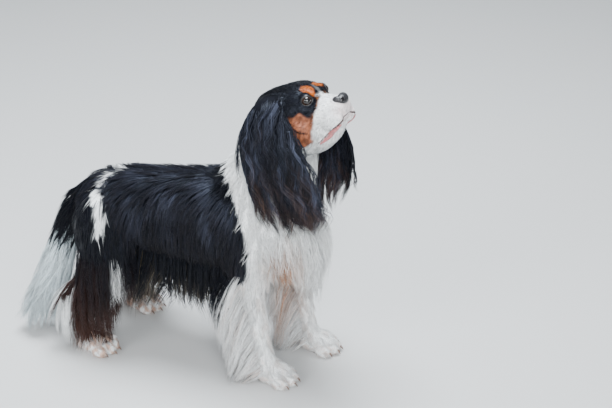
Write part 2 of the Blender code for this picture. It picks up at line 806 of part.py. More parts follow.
class Coat:
    """Grows locks on one piece after another, each clear of what stands there already."""

    def __init__(self, nodes, flesh):
        self.nodes = nodes
        self.flesh = flesh
        self.chance = random.Random(SEED)
        self.grown_trees = {}
        for name in nodes:
            self.note(name)

    def note(self, name):
        """Takes down a piece's surface, grown by the gap, for other pieces' locks to clear."""
        grown = grown_copy(self.nodes[name], LOCK_CLEAR)
        self.grown_trees[name] = tree_of(grown)
        remove([grown])

    def vary(self, value, share):
        return value * self.chance.uniform(1 - share, 1 + share)

    def path(self, root, normal, lie, length, lift, weight, hold):
        """Points and surface normals from a sunken root along the lie, drawn down by weight."""
        step = length / self.rings
        points = [root - normal * LOCK_SINK]
        normals = [normal]
        point = root + normal * LOCK_LIFT
        sway = self.chance.uniform(-1, 1)
        for i in range(self.rings):
            share = (i + 1) / self.rings
            heading = (lie.lerp(DOWN, weight * share) + normals[-1] * lift * (1 - share)).normalized()
            across = heading.cross(normals[-1]).normalized()
            heading = (heading + across * 0.22 * math.sin(4.0 * share + 3 * sway)).normalized()
            point = point + heading * step
            distance, out = signed_distance(self.flesh, point)
            if distance < hold:
                point = point + out * (hold - distance)
            point.z = max(point.z, FLOOR_CLEAR + 0.004 * (1 - share))
            points.append(point.copy())
            normals.append(normal if distance > 0.03 else out)
        return points, normals

    def blocked(self, bm, name):
        tree = BVHTree.FromBMesh(bm)
        spots = [vert.co for vert in bm.verts]
        for other, grown in self.grown_trees.items():
            if other == name:
                continue
            if tree.overlap(grown):
                return True
            near = grown.find_nearest(spots[-1], 0.02)
            if near[0] is not None and (spots[-1] - near[0]).dot(near[1]) < 0:
                return True
        return False

    def lock(self, name, root, normal, lie, length, width, lift=0.5, weight=0.7):
        """One lock, lifted or shortened until it clears the other pieces, or left out."""
        lie = Vector(lie).normalized()
        length, width = self.vary(length, 0.14), self.vary(width, 0.16)
        state = self.chance.getstate()
        for hold, scale in ((0.0014, 1), (0.0035, 1), (0.006, 1), (0.006, 0.8), (0.009, 0.62), (0.0035, 0.5)):
            self.chance.setstate(state)
            points, normals = self.path(root, normal, lie, length * scale, lift, weight, hold)
            bm = lock_mesh(*lock_rings(points, normals, width * (0.5 + 0.5 * scale)))
            if not self.blocked(bm, name):
                self.made.append(object_from("lock", bm))
                return
            bm.free()

    def grow(self, name, grower, rings=LOCK_RINGS):
        """Grows a piece's locks and fuses them to it."""
        self.made = []
        self.rings = rings
        grower(name)
        collection = bpy.data.collections.new(name + "_locks")
        for lock in self.made:
            bpy.context.scene.collection.objects.unlink(lock)
            collection.objects.link(lock)
        thing = self.nodes[name]
        step = thing.modifiers.new("coat", "BOOLEAN")
        step.operation = "UNION"
        step.operand_type = "COLLECTION"
        step.collection = collection
        step.solver = "MANIFOLD"
        apply_modifiers(thing)
        remove(self.made)
        bpy.data.collections.remove(collection)
        keep_largest(thing)
        self.note(name)

    def on_flesh(self, origin, direction):
        """Where a ray from inside leaves the flesh, with the surface's normal there."""
        spot, normal, _, _ = self.flesh.ray_cast(origin, direction)
        return spot, normal

    def ear(self, name):
        word = name.split("_")[1]
        side = -1 if word == "right" else 1
        outward = (ear_frame(side).to_3x3() @ Vector((0.0, side, 0.0))).normalized()
        forward = ear_frame(side).to_3x3() @ Vector((1.0, 0.0, 0.0))
        tree = tree_of(self.nodes[name])
        for place, count, length, width in EAR_ROWS:
            for i in range(count):
                share = (i + self.chance.uniform(0.25, 0.75)) / count
                start = ear_point(side, place, share) + outward * 0.05
                spot, normal, _, _ = tree.ray_cast(start, -outward)
                if spot is None:
                    continue
                lie = DOWN + forward * EAR_SWEEP[word] * (1.7 - 0.6 * share)
                self.lock(name, spot, outward, lie, length * EAR_HAIR[word], width, 0.25, 0.45)

    def chest(self, name):
        for height, spread, count, length, width in CHEST_ROWS:
            for i in range(count):
                angle = math.radians(spread * (2 * (i + self.chance.uniform(0.3, 0.7)) / count - 1))
                out = Vector((math.cos(angle), math.sin(angle), 0.0))
                spot, normal = self.on_flesh(Vector((CHEST_AXIS_X, 0.0, height)), out)
                if self.node_at(spot) != name:
                    continue
                lie = DOWN + out * 0.45
                self.lock(name, spot, normal, lie, length, width, 0.42, 0.80)

    def node_at(self, spot):
        """Which of neck and torso lies under a point of the coat."""
        tilt = Matrix.Rotation(NECK_CUT_TILT, 3, "Y") @ UP
        return "neck" if (spot - NECK_CUT).dot(tilt) > 0 else "torso"

    def belly(self, name):
        for side in (-1, 1):
            for height, first, last, count, length, width in BELLY_ROWS:
                for i in range(count):
                    x = between(first, last, (i + self.chance.uniform(0.2, 0.8)) / count)
                    spot, normal = self.on_flesh(Vector((x, 0.0, height)), ACROSS * side)
                    self.lock(name, spot, normal, DOWN + Vector((-0.35, 0, 0)), length, width, 0.15, 0.8)
        first, last, count, length, width = BELLY_LOW_ROW
        for i in range(count):
            x = between(first, last, (i + self.chance.uniform(0.2, 0.8)) / count)
            side = 0.4 * (-1) ** i
            spot, normal = self.on_flesh(Vector((x, 0.0, 0.22)), Vector((0.0, side, -1.0)).normalized())
            self.lock(name, spot, normal, Vector((-0.3, 0.0, -1.0)), length, width, 0.2, 0.9)

    def torso(self, name):
        self.chest(name)
        self.belly(name)

    def leg(self, name):
        side = -1 if name.endswith("right") else 1
        fore = name.startswith("fore")
        table, feather = (FORELEG, FORE_FEATHER) if fore else (HINDLEG, HIND_FEATHER)
        paw = {
            "foreleg_right": FORE_PAW_RIGHT,
            "foreleg_left": FORE_PAW_LEFT,
            "hindleg_right": HIND_PAW_RIGHT,
            "hindleg_left": HIND_PAW_LEFT,
        }[name]
        middles = [Vector(row[0]) for row in leg_stations(table, paw, side)]
        top = 0.150 if fore else 0.163
        tree = tree_of(self.nodes[name])
        for share, turn, length, width in feather:
            height = between(top - 0.004, 0.014, share)
            middle = self.at_height(middles, height)
            angle = math.radians(turn) * side
            out = Vector((-math.cos(angle), -math.sin(angle), 0.0))
            spot, normal, _, _ = tree.ray_cast(middle, out)
            if spot is None:
                continue
            lie = DOWN + out * (0.60 if abs(turn) < 90 else 0.12)
            self.lock(name, spot, normal, lie, length, width, 0.3, 0.75)

    def at_height(self, middles, height):
        """The point of a leg's middle line at a height."""
        for upper, lower in zip(middles, middles[1:]):
            if lower.z <= height <= upper.z:
                return between(lower, upper, (height - lower.z) / (upper.z - lower.z))
        return Vector((middles[-1].x, middles[-1].y, height))

    def tail(self, name):
        middles = [Vector(row[0]) for row in TAIL]
        tree = tree_of(self.nodes[name])
        last = len(middles) - 1
        for share, turn, length, width in TAIL_PLUME:
            spot = smooth_value(middles, share * last)
            ahead = smooth_value(middles, min(1.0, share + 0.05) * last)
            along = (ahead - smooth_value(middles, max(0.0, share - 0.05) * last)).normalized()
            rear = (Vector((-1.0, -0.1, 0.0)) - along * along.dot(Vector((-1.0, -0.1, 0.0)))).normalized()
            out = Matrix.Rotation(math.radians(turn), 3, along) @ rear
            root, normal, _, _ = tree.ray_cast(spot, out)
            if root is None:
                continue
            lie = along + out * 0.34 * share + Vector((-0.16 * share, 0.0, 0.0))
            self.lock(name, root, out, lie, length, width, 0.18, 0.22)


def stand_at_origin(things):
    """Moves all pieces so that the middle of their base is the origin."""
    points = [vert.co for thing in things for vert in thing.data.vertices]
    low = [min(p[i] for p in points) for i in range(3)]
    high = [max(p[i] for p in points) for i in range(3)]
    move = Vector(((low[0] + high[0]) / -2, (low[1] + high[1]) / -2, -low[2]))
    for thing in things:
        thing.data.transform(Matrix.Translation(move))


def main():
    clear_scene()
    nodes, flesh = part_flesh()
    for name in ("foreleg_right", "foreleg_left", "hindleg_right", "hindleg_left"):
        flatten_soles(nodes[name])
    head = nodes["head"]
    open_eyes(head)
    nodes["nose"] = make_nose()
    seat_nose(head, nodes["nose"])
    cut_mouth(head)
    keep_largest(head)
    for side, word in ((-1, "right"), (1, "left")):
        nodes["eye_" + word] = make_eye("eye_" + word, side)
        ear = make_ear("ear_" + word, side, flesh)
        clear_of(ear, [head, nodes["neck"], nodes["torso"]])
        nodes["ear_" + word] = ear
    nodes["tail"] = make_tail()
    clear_of(nodes["tail"], [nodes["torso"]])
    coat = Coat(nodes, flesh)
    for name in ("foreleg_right", "foreleg_left", "hindleg_right", "hindleg_left"):
        coat.grow(name, coat.leg)
    coat.grow("torso", coat.torso)
    coat.grow("neck", coat.chest)
    coat.grow("ear_right", coat.ear, EAR_RINGS)
    coat.grow("ear_left", coat.ear, EAR_RINGS)
    coat.grow("tail", coat.tail)
    for name, thing in nodes.items():
        thing.data.materials.clear()
        colour, roughness = FINISH[name.split("_")[0]]
        thing.data.materials.append(material(name, colour, roughness))
        for polygon in thing.data.polygons:
            polygon.use_smooth = True
    stand_at_origin(nodes.values())


main()
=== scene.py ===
import math

import bmesh
import bpy
import numpy as np
from mathutils import Matrix, Vector
from mathutils.bvhtree import BVHTree
from mathutils.kdtree import KDTree


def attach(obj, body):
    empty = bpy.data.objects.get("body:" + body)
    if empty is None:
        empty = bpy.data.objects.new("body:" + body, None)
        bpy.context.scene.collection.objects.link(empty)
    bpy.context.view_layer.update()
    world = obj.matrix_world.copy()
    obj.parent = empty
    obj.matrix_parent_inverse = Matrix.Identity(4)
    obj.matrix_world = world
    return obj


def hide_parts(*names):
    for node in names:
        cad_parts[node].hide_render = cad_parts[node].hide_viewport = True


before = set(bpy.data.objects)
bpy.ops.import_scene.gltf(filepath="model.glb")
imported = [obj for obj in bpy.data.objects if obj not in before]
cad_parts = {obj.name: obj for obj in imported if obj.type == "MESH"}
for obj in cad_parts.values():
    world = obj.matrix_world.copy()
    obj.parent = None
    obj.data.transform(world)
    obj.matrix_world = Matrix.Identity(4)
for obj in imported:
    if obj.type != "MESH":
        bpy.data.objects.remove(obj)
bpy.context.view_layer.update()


# The floor is a plain pale board, wider than any view of the dog. The camera looks down
# on the dog from its right, as in the photo.
FLOOR_SIDE = 14.0
FLOOR_COLOUR = (0.60, 0.60, 0.59, 1.0)
CAMERA_AT = (0.8078, -1.7240, 1.2488)
CAMERA_TURN = (62.0, 0.0, 19.5)
CAMERA_LENS = 85.0


def put_in_scene(name, data):
    """An object of its own for a mesh, a lamp or the camera."""
    thing = bpy.data.objects.new(name, data)
    bpy.context.scene.collection.objects.link(thing)
    return thing


def new_finish(name):
    """A material, with its nodes, their links and its shader."""
    finish = bpy.data.materials.new(name)
    finish.use_nodes = True
    tree = finish.node_tree
    return finish, tree.nodes, tree.links, tree.nodes["Principled BSDF"]


bm = bmesh.new()
bmesh.ops.create_grid(bm, x_segments=1, y_segments=1, size=FLOOR_SIDE / 2)
floor_mesh = bpy.data.meshes.new("floor")
bm.to_mesh(floor_mesh)
bm.free()
floor = put_in_scene("floor", floor_mesh)
floor_paint, _, _, shader = new_finish("floor_paint")
shader.inputs["Base Color"].default_value = FLOOR_COLOUR
shader.inputs["Roughness"].default_value = 0.8
floor_mesh.materials.append(floor_paint)

camera = put_in_scene("camera", bpy.data.cameras.new("camera"))
camera.location = CAMERA_AT
camera.rotation_euler = [math.radians(turn) for turn in CAMERA_TURN]
camera.data.lens = CAMERA_LENS
camera.data.sensor_width = 36.0
camera.data.clip_start = 0.05
bpy.context.scene.camera = camera


# Soft studio light: a cool panel overhead that lays the sheen on back and ears, a broad
# one from the front right, a smaller one above it that gleams in the eyes, one from the
# rear right, and a pale room all round. A lamp has its place, aim, size, power and colour.
LIGHTS = {
    "overhead": ((-0.05, 0.25, 2.2), (0.0, 0.0, 0.25), 1.1, 112.0, (0.88, 0.94, 1.0)),
    "front": ((1.40, -2.15, 1.30), (0.05, 0.0, 0.2), 2.0, 48.0, (0.98, 0.99, 1.0)),
    "eyes": ((0.95, -1.80, 1.75), (0.2, 0.0, 0.4), 0.70, 32.0, (0.90, 0.95, 1.0)),
    "side": ((-0.9, -2.1, 1.5), (0.0, 0.0, 0.2), 1.2, 36.0, (0.95, 0.97, 1.0)),
}
ROOM_COLOUR = (0.80, 0.87, 0.95, 1.0)
ROOM_STRENGTH = 0.42

for name, (at, toward, size, power, colour) in LIGHTS.items():
    lamp = bpy.data.lights.new(name, "AREA")
    lamp.shape = "DISK"
    lamp.size = size
    lamp.energy = power
    lamp.color = colour
    panel = put_in_scene(name, lamp)
    panel.location = at
    panel.rotation_euler = (Vector(toward) - Vector(at)).to_track_quat("-Z", "Y").to_euler()
room = bpy.data.worlds.new("room")
bpy.context.scene.world = room
room.use_nodes = True
room.node_tree.nodes["Background"].inputs["Color"].default_value = ROOM_COLOUR
room.node_tree.nodes["Background"].inputs["Strength"].default_value = ROOM_STRENGTH


# The flesh: skull, muzzle, neck, trunk, legs, paws and tail are round masses set along
# the bones, each a loft through rings. A ring gives its middle, half width and half
# depth at the coat's surface, and the flesh lies below that by the depth of the hair.
STANCE = Matrix.Translation((0.0276, -0.0013, 0.0))
HEAD_TURN = math.radians(-12)
HEAD_RAISE = math.radians(19)
HEAD = (
    STANCE
    @ Matrix.Translation((0.192, -0.015, 0.459))
    @ Matrix.Rotation(HEAD_TURN, 4, "Z")
    @ Matrix.Rotation(-HEAD_RAISE, 4, "Y")
)
TRUNK = (
    (-0.189, 0.222, 0.020, 0.024),
    (-0.174, 0.223, 0.045, 0.046),
    (-0.145, 0.223, 0.062, 0.060),
    (-0.090, 0.229, 0.068, 0.064),
    (-0.030, 0.230, 0.074, 0.071),
    (0.030, 0.232, 0.079, 0.079),
    (0.085, 0.233, 0.078, 0.083),
    (0.130, 0.234, 0.067, 0.075),
    (0.165, 0.238, 0.047, 0.055),
    (0.184, 0.242, 0.024, 0.030),
)
NECK = (
    ((0.076, 0.0, 0.258), 0.060, 0.070),
    ((0.112, -0.001, 0.314), 0.053, 0.059),
    ((0.136, -0.005, 0.362), 0.047, 0.050),
    ((0.149, -0.009, 0.410), 0.043, 0.044),
)
SKULL = (
    (-0.099, -0.026, 0.020, 0.016),
    (-0.086, -0.022, 0.036, 0.033),
    (-0.055, -0.0225, 0.046, 0.0405),
    (-0.028, -0.0255, 0.045, 0.0455),
    (-0.012, -0.0330, 0.038, 0.0415),
    (0.001, -0.037, 0.029, 0.035),
    (0.012, -0.037, 0.020, 0.025),
)
MUZZLE = (
    (-0.012, -0.030, 0.034, 0.029),
    (0.008, -0.027, 0.029, 0.0245),
    (0.022, -0.0250, 0.0240, 0.0200),
    (0.033, -0.0232, 0.0200, 0.0170),
    (0.0395, -0.0230, 0.0148, 0.0128),
    (0.0425, -0.0230, 0.0080, 0.0070),
)
LOWER_JAW = (
    (-0.052, -0.060, 0.030, 0.022),
    (-0.022, -0.066, 0.028, 0.018),
    (0.004, -0.059, 0.022, 0.0125),
    (0.019, -0.0495, 0.0165, 0.0085),
    (0.0265, -0.0450, 0.0105, 0.0055),
)
FORELEG = (
    ((-0.046, 0.014, 0.252), 0.006, 0.012),
    ((-0.045, 0.006, 0.225), 0.022, 0.034),
    ((-0.040, 0.002, 0.190), 0.026, 0.036),
    ((-0.037, 0.000, 0.155), 0.020, 0.025),
    ((-0.027, 0.000, 0.115), 0.016, 0.0185),
    ((-0.020, 0.000, 0.072), 0.0145, 0.0165),
    ((-0.015, 0.000, 0.045), 0.0150, 0.0165),
    ((-0.006, 0.000, 0.026), 0.0155, 0.0160),
)
HINDLEG = (
    ((0.020, 0.024, 0.268), 0.008, 0.016),
    ((0.022, 0.016, 0.238), 0.030, 0.044),
    ((0.024, 0.010, 0.200), 0.030, 0.050),
    ((0.026, 0.004, 0.160), 0.026, 0.042),
    ((0.004, 0.002, 0.122), 0.0195, 0.030),
    ((-0.034, 0.000, 0.088), 0.0145, 0.0200),
    ((-0.036, 0.000, 0.064), 0.0135, 0.0155),
    ((-0.022, 0.000, 0.036), 0.0135, 0.0150),
    ((-0.006, 0.000, 0.024), 0.0150, 0.0150),
)
TAIL = (
    ((-0.170, 0.000, 0.247), 0.016, 0.016),
    ((-0.196, -0.004, 0.222), 0.014, 0.015),
    ((-0.211, -0.015, 0.174), 0.011, 0.012),
    ((-0.221, -0.024, 0.132), 0.009, 0.010),
    ((-0.235, -0.034, 0.092), 0.007, 0.008),
    ((-0.250, -0.043, 0.058), 0.004, 0.004),
)
PAWS = {
    "foreleg_right": Vector((0.138, -0.055, 0.0)),
    "foreleg_left": Vector((0.171, 0.048, 0.0)),
    "hindleg_right": Vector((-0.152, -0.067, 0.0)),
    "hindleg_left": Vector((-0.138, 0.070, 0.0)),
}
PAW_HALF = Vector((0.030, 0.021, 0.019))
TOE_HALF = Vector((0.0135, 0.0075, 0.0105))
TOE_SPREAD = (-0.0190, -0.0066, 0.0066, 0.0190)
TOE_REACH = (0.016, 0.025, 0.025, 0.016)
EYE_AT = Vector((-0.0072, 0.0190, -0.0024))
SOCKET_HALF = (0.0110, 0.0112, 0.0110)
# cheek, upper lip and brow: middle, half sizes and the hair that covers it
FACE_MASSES = (
    ((-0.032, 0.0300, -0.0420), (0.0300, 0.0190, 0.0300), "head"),
    ((0.020, 0.0160, -0.0350), (0.0205, 0.0110, 0.0150), "face"),
    ((-0.019, 0.0160, 0.0012), (0.0145, 0.0115, 0.0075), "face"),
)
HAIR_DEPTH = {"head": 0.0012, "face": 0.0006, "neck": 0.005, "trunk": 0.005, "leg": 0.003, "paw": 0.0012}
PAW_MIDDLE = Vector((0.0, 0.0, 0.015))
TOE_HEIGHT = 0.0085
LEAST_HALF = 0.003
ACROSS = Vector((0.0, 1.0, 0.0))


def smooth_value(values, place):
    """Catmull-Rom through values, at place from 0 to the last index."""
    last = len(values) - 1
    i = min(int(place), last - 1)
    t = place - i
    before, here, there, after = (values[max(0, min(last, j))] for j in (i - 1, i, i + 1, i + 2))
    return 0.5 * (
        2 * here
        + (there - before) * t
        + (2 * before - 5 * here + 4 * there - after) * t * t
        + (3 * here - before - 3 * there + after) * t * t * t
    )


def add_loft(bm, stations, place, depth, steps=3, sides=24):
    """A closed round form through (middle, half width, half depth) rings, less the hair's depth."""
    middles = [Vector(ring[0]) for ring in stations]
    count = (len(stations) - 1) * steps + 1
    path = [smooth_value(middles, i / steps) for i in range(count)]
    loops = []
    for i in range(count):
        run = (path[min(i + 1, count - 1)] - path[max(i - 1, 0)]).normalized()
        across = (ACROSS - run * ACROSS.dot(run)).normalized()
        turn = Matrix((across, run.cross(across), run)).transposed().to_4x4()
        half = [max(LEAST_HALF, smooth_value([r[k] for r in stations], i / steps) - depth) for k in (1, 2)]
        ring = place @ Matrix.Translation(path[i]) @ turn @ Matrix.Diagonal((*half, 1.0, 1.0))
        circle = set(bmesh.ops.create_circle(bm, segments=sides, radius=1.0, matrix=ring)["verts"])
        loops.append(list({e for v in circle for e in v.link_edges if e.other_vert(v) in circle}))
    for first, second in zip(loops, loops[1:]):
        bmesh.ops.bridge_loops(bm, edges=first + second)
    for end in (loops[0], loops[-1]):
        bmesh.ops.contextual_create(bm, geom=end)


def add_ball(bm, middle, half, place, depth=0.0, turn=Matrix(), sides=20):
    """An ellipsoid given by its middle and half sizes."""
    size = Matrix.Diagonal((half[0] - depth, half[1] - depth, half[2] - depth, 1.0))
    ball = place @ Matrix.Translation(middle) @ turn @ size
    bmesh.ops.create_uvsphere(bm, u_segments=sides, v_segments=sides * 2 // 3, radius=1.0, matrix=ball)


def mirrored(point, side):
    return Vector((point[0], point[1] * side, point[2]))


def level(rows):
    return [((x, 0.0, z), width, depth) for x, z, width, depth in rows]


def piece_from(name, bm):
    """An object with the mesh of bm, its normals set outward."""
    bmesh.ops.recalc_face_normals(bm, faces=bm.faces)
    mesh = bpy.data.meshes.new(name)
    bm.to_mesh(mesh)
    bm.free()
    return put_in_scene(name, mesh)


def head_form(share):
    bm = bmesh.new()
    add_loft(bm, level(SKULL), HEAD, share * HAIR_DEPTH["head"])
    add_loft(bm, level(MUZZLE), HEAD, share * HAIR_DEPTH["face"])
    add_loft(bm, level(LOWER_JAW), HEAD, share * HAIR_DEPTH["face"])
    for side in (-1, 1):
        for middle, half, hair in FACE_MASSES:
            add_ball(bm, mirrored(middle, side), half, HEAD, share * HAIR_DEPTH[hair])
        add_ball(bm, mirrored(EYE_AT, side), SOCKET_HALF, HEAD)
    return piece_from("head_form", bm)


def leg_rings(name):
    side = -1 if name.endswith("right") else 1
    table = FORELEG if name.startswith("fore") else HINDLEG
    return [(PAWS[name] + Vector((x, -y * side, z)), wide, deep) for (x, y, z), wide, deep in table]


def leg_form(name, share):
    bm = bmesh.new()
    paw = PAWS[name]
    add_loft(bm, leg_rings(name), STANCE, share * HAIR_DEPTH["leg"])
    add_ball(bm, paw + PAW_MIDDLE, PAW_HALF, STANCE, share * HAIR_DEPTH["paw"])
    for spread, reach in zip(TOE_SPREAD, TOE_REACH):
        toe = paw + Vector((reach, spread, TOE_HEIGHT))
        add_ball(bm, toe, TOE_HALF, STANCE, share * HAIR_DEPTH["paw"])
    return piece_from(name + "_form", bm)


def loft_form(name, rings, depth):
    bm = bmesh.new()
    add_loft(bm, rings, STANCE, depth)
    return piece_from(name + "_form", bm)


def body_forms(share):
    """Every mass of the body as its own closed form; share 1 is the flesh and 0 the coat."""
    made = {
        "head": head_form(share),
        "neck": loft_form("neck", NECK, share * HAIR_DEPTH["neck"]),
        "trunk": loft_form("trunk", level(TRUNK), share * HAIR_DEPTH["trunk"]),
        "tail": loft_form("tail", TAIL, share * HAIR_DEPTH["paw"]),
    }
    for name in PAWS:
        made[name] = leg_form(name, share)
    return made


def with_modifiers(piece):
    """Replaces a piece's mesh by what its modifiers make of it."""
    bpy.context.view_layer.update()
    evaluated = piece.evaluated_get(bpy.context.evaluated_depsgraph_get())
    mesh = bpy.data.meshes.new_from_object(evaluated)
    mesh.materials.clear()
    piece.modifiers.clear()
    piece.data = mesh


def fuse(name, forms, voxel, smoothing):
    """One closed skin round several forms."""
    bm = bmesh.new()
    for form in forms:
        bm.from_mesh(form.data)
    piece = piece_from(name, bm)
    remesh = piece.modifiers.new("fuse", "REMESH")
    remesh.mode = "VOXEL"
    remesh.voxel_size = voxel
    relax = piece.modifiers.new("relax", "SMOOTH")
    relax.factor = 0.5
    relax.iterations = smoothing
    with_modifiers(piece)
    return piece


def tree_of(piece):
    bm = bmesh.new()
    bm.from_mesh(piece.data)
    tree = BVHTree.FromBMesh(bm)
    bm.free()
    return tree


def remove(things):
    for thing in things:
        bpy.data.objects.remove(thing)


# The ears are thin leather flaps that hang from the sides of the skull. Each is a grid
# bent to the flap's outline, held clear of the cheek and neck, and given its thickness.
EAR_ROOT = Vector((-0.043, 0.040, 0.010))
EAR_LEATHER = (
    (0.000, -0.024, 0.002, -0.020),
    (-0.008, -0.030, 0.012, -0.009),
    (-0.026, -0.037, 0.028, 0.006),
    (-0.052, -0.042, 0.051, 0.016),
    (-0.078, -0.044, 0.065, 0.018),
    (-0.100, -0.038, 0.073, 0.017),
    (-0.114, -0.016, 0.066, 0.016),
)
EAR_ROOT_SLOPE = 0.34
EAR_THICKNESS = 0.0040
EAR_CUP = 0.007
EAR_CLEAR = 0.0036
# the share of the flap that is bedded in the skull, and how fast it rises clear from there
EAR_BEDDED = 0.26
EAR_RISE = 7
EAR_PUSH_FROM = 0.12
EAR_PUSHES = 8
EAR_LEAST_PUSH = 0.0005
COAT_VOXEL = 0.0030

# the outside of the body's coat, which the flaps are held clear of
outer_forms = body_forms(0.0)
outer = fuse("outer", list(outer_forms.values()), COAT_VOXEL, 3)
outer_tree = tree_of(outer)
remove([outer, *outer_forms.values()])


def ear_frame(side):
    """Hangs the ear from its root: turned as the head is, but plumb."""
    return Matrix.Translation(HEAD @ mirrored(EAR_ROOT, side)) @ Matrix.Rotation(HEAD_TURN, 4, "Z")


def ear_point(side, down, front):
    """A point of the leather: shares run root to tip and back to front."""
    place = down * (len(EAR_LEATHER) - 1)
    height, rear, fore, stand = (smooth_value([r[i] for r in EAR_LEATHER], place) for i in range(4))
    bulge = EAR_CUP * (1 - (2 * front - 1) ** 2) * min(1.0, 2 * down)
    forward = rear + (fore - rear) * front
    height += forward * EAR_ROOT_SLOPE * max(0.0, 1 - 2.5 * down)
    return ear_frame(side) @ mirrored((forward, stand + bulge, height), side)


def ear_form(side):
    outward = ear_frame(side).to_3x3() @ Vector((0.0, side, 0.0))
    bm = bmesh.new()
    bmesh.ops.create_grid(bm, x_segments=12, y_segments=12, size=0.5)
    for vert in bm.verts:
        down, front = vert.co.y + 0.5, vert.co.x + 0.5
        point = ear_point(side, down, front)
        clear = EAR_CLEAR * min(1.0, (down - EAR_BEDDED) * EAR_RISE)
        for _ in range(EAR_PUSHES if down > EAR_PUSH_FROM else 0):
            spot, way, _, gap = outer_tree.find_nearest(point)
            gap = gap if (point - spot).dot(way) > 0 else -gap
            if gap < clear:
                point = point + outward * max(EAR_LEAST_PUSH, clear - gap)
        vert.co = point - outward * EAR_THICKNESS / 2 * side
    bmesh.ops.recalc_face_normals(bm, faces=bm.faces)
    bmesh.ops.solidify(bm, geom=bm.faces[:], thickness=EAR_THICKNESS)
    return piece_from("ear_form", bm)


# The skin: all the flesh and the ears' leather fused into one closed surface, so that
# no seam shows, with the lids opened over the eyes. The mouth stays closed.
SKIN_VOXEL = 0.0018
EYE_RADIUS = 0.0098
EYE_LOOK = (0.64, 0.76, 0.10)
SOCKET_GAP = 0.0003
LID_OPENING = (0.0080, 0.0066)
LID_CUT_AHEAD = 0.015
LID_CUT_DEPTH = 0.03


def smooth_shade(piece):
    piece.data.polygons.foreach_set("use_smooth", np.ones(len(piece.data.polygons), dtype=bool))


def subtract(piece, cutter):
    step = piece.modifiers.new("cut", "BOOLEAN")
    step.operation = "DIFFERENCE"
    step.solver = "MANIFOLD"
    step.object = cutter
    with_modifiers(piece)
    remove([cutter])


def eye_frame(side):
    """The eyeball's middle, with +X along its gaze."""
    look = mirrored(EYE_LOOK, side).to_track_quat("X", "Z").to_matrix().to_4x4()
    return HEAD @ Matrix.Translation(mirrored(EYE_AT, side)) @ look


def open_lids(piece, side):
    bm = bmesh.new()
    socket_radius = EYE_RADIUS + SOCKET_GAP
    bmesh.ops.create_uvsphere(
        bm, u_segments=24, v_segments=16, radius=socket_radius, matrix=eye_frame(side)
    )
    subtract(piece, piece_from("socket", bm))
    bm = bmesh.new()
    slit = (
        eye_frame(side)
        @ Matrix.Translation((LID_CUT_AHEAD, 0.0, 0.0))
        @ Matrix.Rotation(math.radians(90), 4, "Y")
        @ Matrix.Diagonal((LID_OPENING[1], LID_OPENING[0], LID_CUT_DEPTH, 1.0))
    )
    bmesh.ops.create_cone(bm, cap_ends=True, segments=32, radius1=1.0, radius2=1.25, depth=1.0, matrix=slit)
    subtract(piece, piece_from("slit", bm))


forms = body_forms(1.0)
forms["ear_right"] = ear_form(-1)
forms["ear_left"] = ear_form(1)
skin = fuse("skin", list(forms.values()), SKIN_VOXEL, 4)
open_lids(skin, -1)
open_lids(skin, 1)
for vert in skin.data.vertices:
    vert.co.z = max(vert.co.z, 0.0)
skin_tree = tree_of(skin)


# The skin is unwrapped once on its own shape. Every tuft of the coat takes the place
# of its root on this unwrap.
TUFT_PATCH = 0.003

bpy.context.view_layer.objects.active = skin
skin.select_set(True)
bpy.ops.object.mode_set(mode="EDIT")
bpy.ops.mesh.select_all(action="SELECT")
bpy.ops.uv.smart_project(angle_limit=math.radians(66), island_margin=0.002)
bpy.ops.object.mode_set(mode="OBJECT")
skin.select_set(False)
skin.data.uv_layers[0].name = "OFBake"
smooth_shade(skin)


def read_array(items, field, width, kind=np.float64):
    values = np.empty(len(items) * width, dtype=kind)
    items.foreach_get(field, values)
    return values.reshape(-1, width) if width > 1 else values


skin.data.calc_loop_triangles()
skin_verts = read_array(skin.data.vertices, "co", 3)
skin_normals = read_array(skin.data.vertices, "normal", 3)
skin_uvs = read_array(skin.data.uv_layers["OFBake"].data, "uv", 2)
tri_verts = read_array(skin.data.loop_triangles, "vertices", 3, np.int32)
tri_loops = read_array(skin.data.loop_triangles, "loops", 3, np.int32)
tri_corners = skin_verts[tri_verts]
tri_middles = tri_corners.mean(axis=1)
tri_sides = np.cross(tri_corners[:, 1] - tri_corners[:, 0], tri_corners[:, 2] - tri_corners[:, 0])
tri_areas = np.linalg.norm(tri_sides, axis=1) / 2
tri_ways = tri_sides / np.maximum(tri_areas[:, None] * 2, 1e-12)


# Which mass of flesh lies under each bit of skin, by the nearest form. The forms are
# only needed up to here and are removed.
PARTS = list(forms)


def part_gaps(points):
    """How far each point is from each form of the body."""
    gaps = np.empty((len(points), len(PARTS)))
    for column, part in enumerate(PARTS):
        tree = tree_of(forms[part])
        for row, point in enumerate(points):
            gaps[row, column] = tree.find_nearest(point)[3]
    return gaps


tri_gaps = part_gaps(tri_middles)
tri_part = tri_gaps.argmin(axis=1)
remove(forms.values())


# The markings of a tricolour coat: black saddle, skull, ears and thighs, a white blaze,
# muzzle, neck, chest and legs, a white band over the rump, and tan on brows and cheeks.
# They are worked out from where a hair grows, alike for the skin and for the coat.
BLACK = np.array((0.0030, 0.0030, 0.0048))
# a bluish grey laid over black hair on the ears and back as painted sheen, standing in for highlights
PAINTED_SHEEN = np.array((0.026, 0.029, 0.043))
WHITE = np.array((0.86, 0.87, 0.86))
# the tail's white painted darker and bluer than the rest, as painted shade
SHADED_TAIL_WHITE = WHITE * np.array((0.74, 0.83, 0.87))
TAN = np.array((0.46, 0.17, 0.05))
CHEEK_TAN = np.array((0.29, 0.102, 0.050))
BROW_TAN = np.array((0.34, 0.078, 0.008))
PEACH = np.array((0.47, 0.225, 0.115))
CREAM = np.array((0.52, 0.44, 0.32))
BROWN = np.array((0.036, 0.017, 0.012))
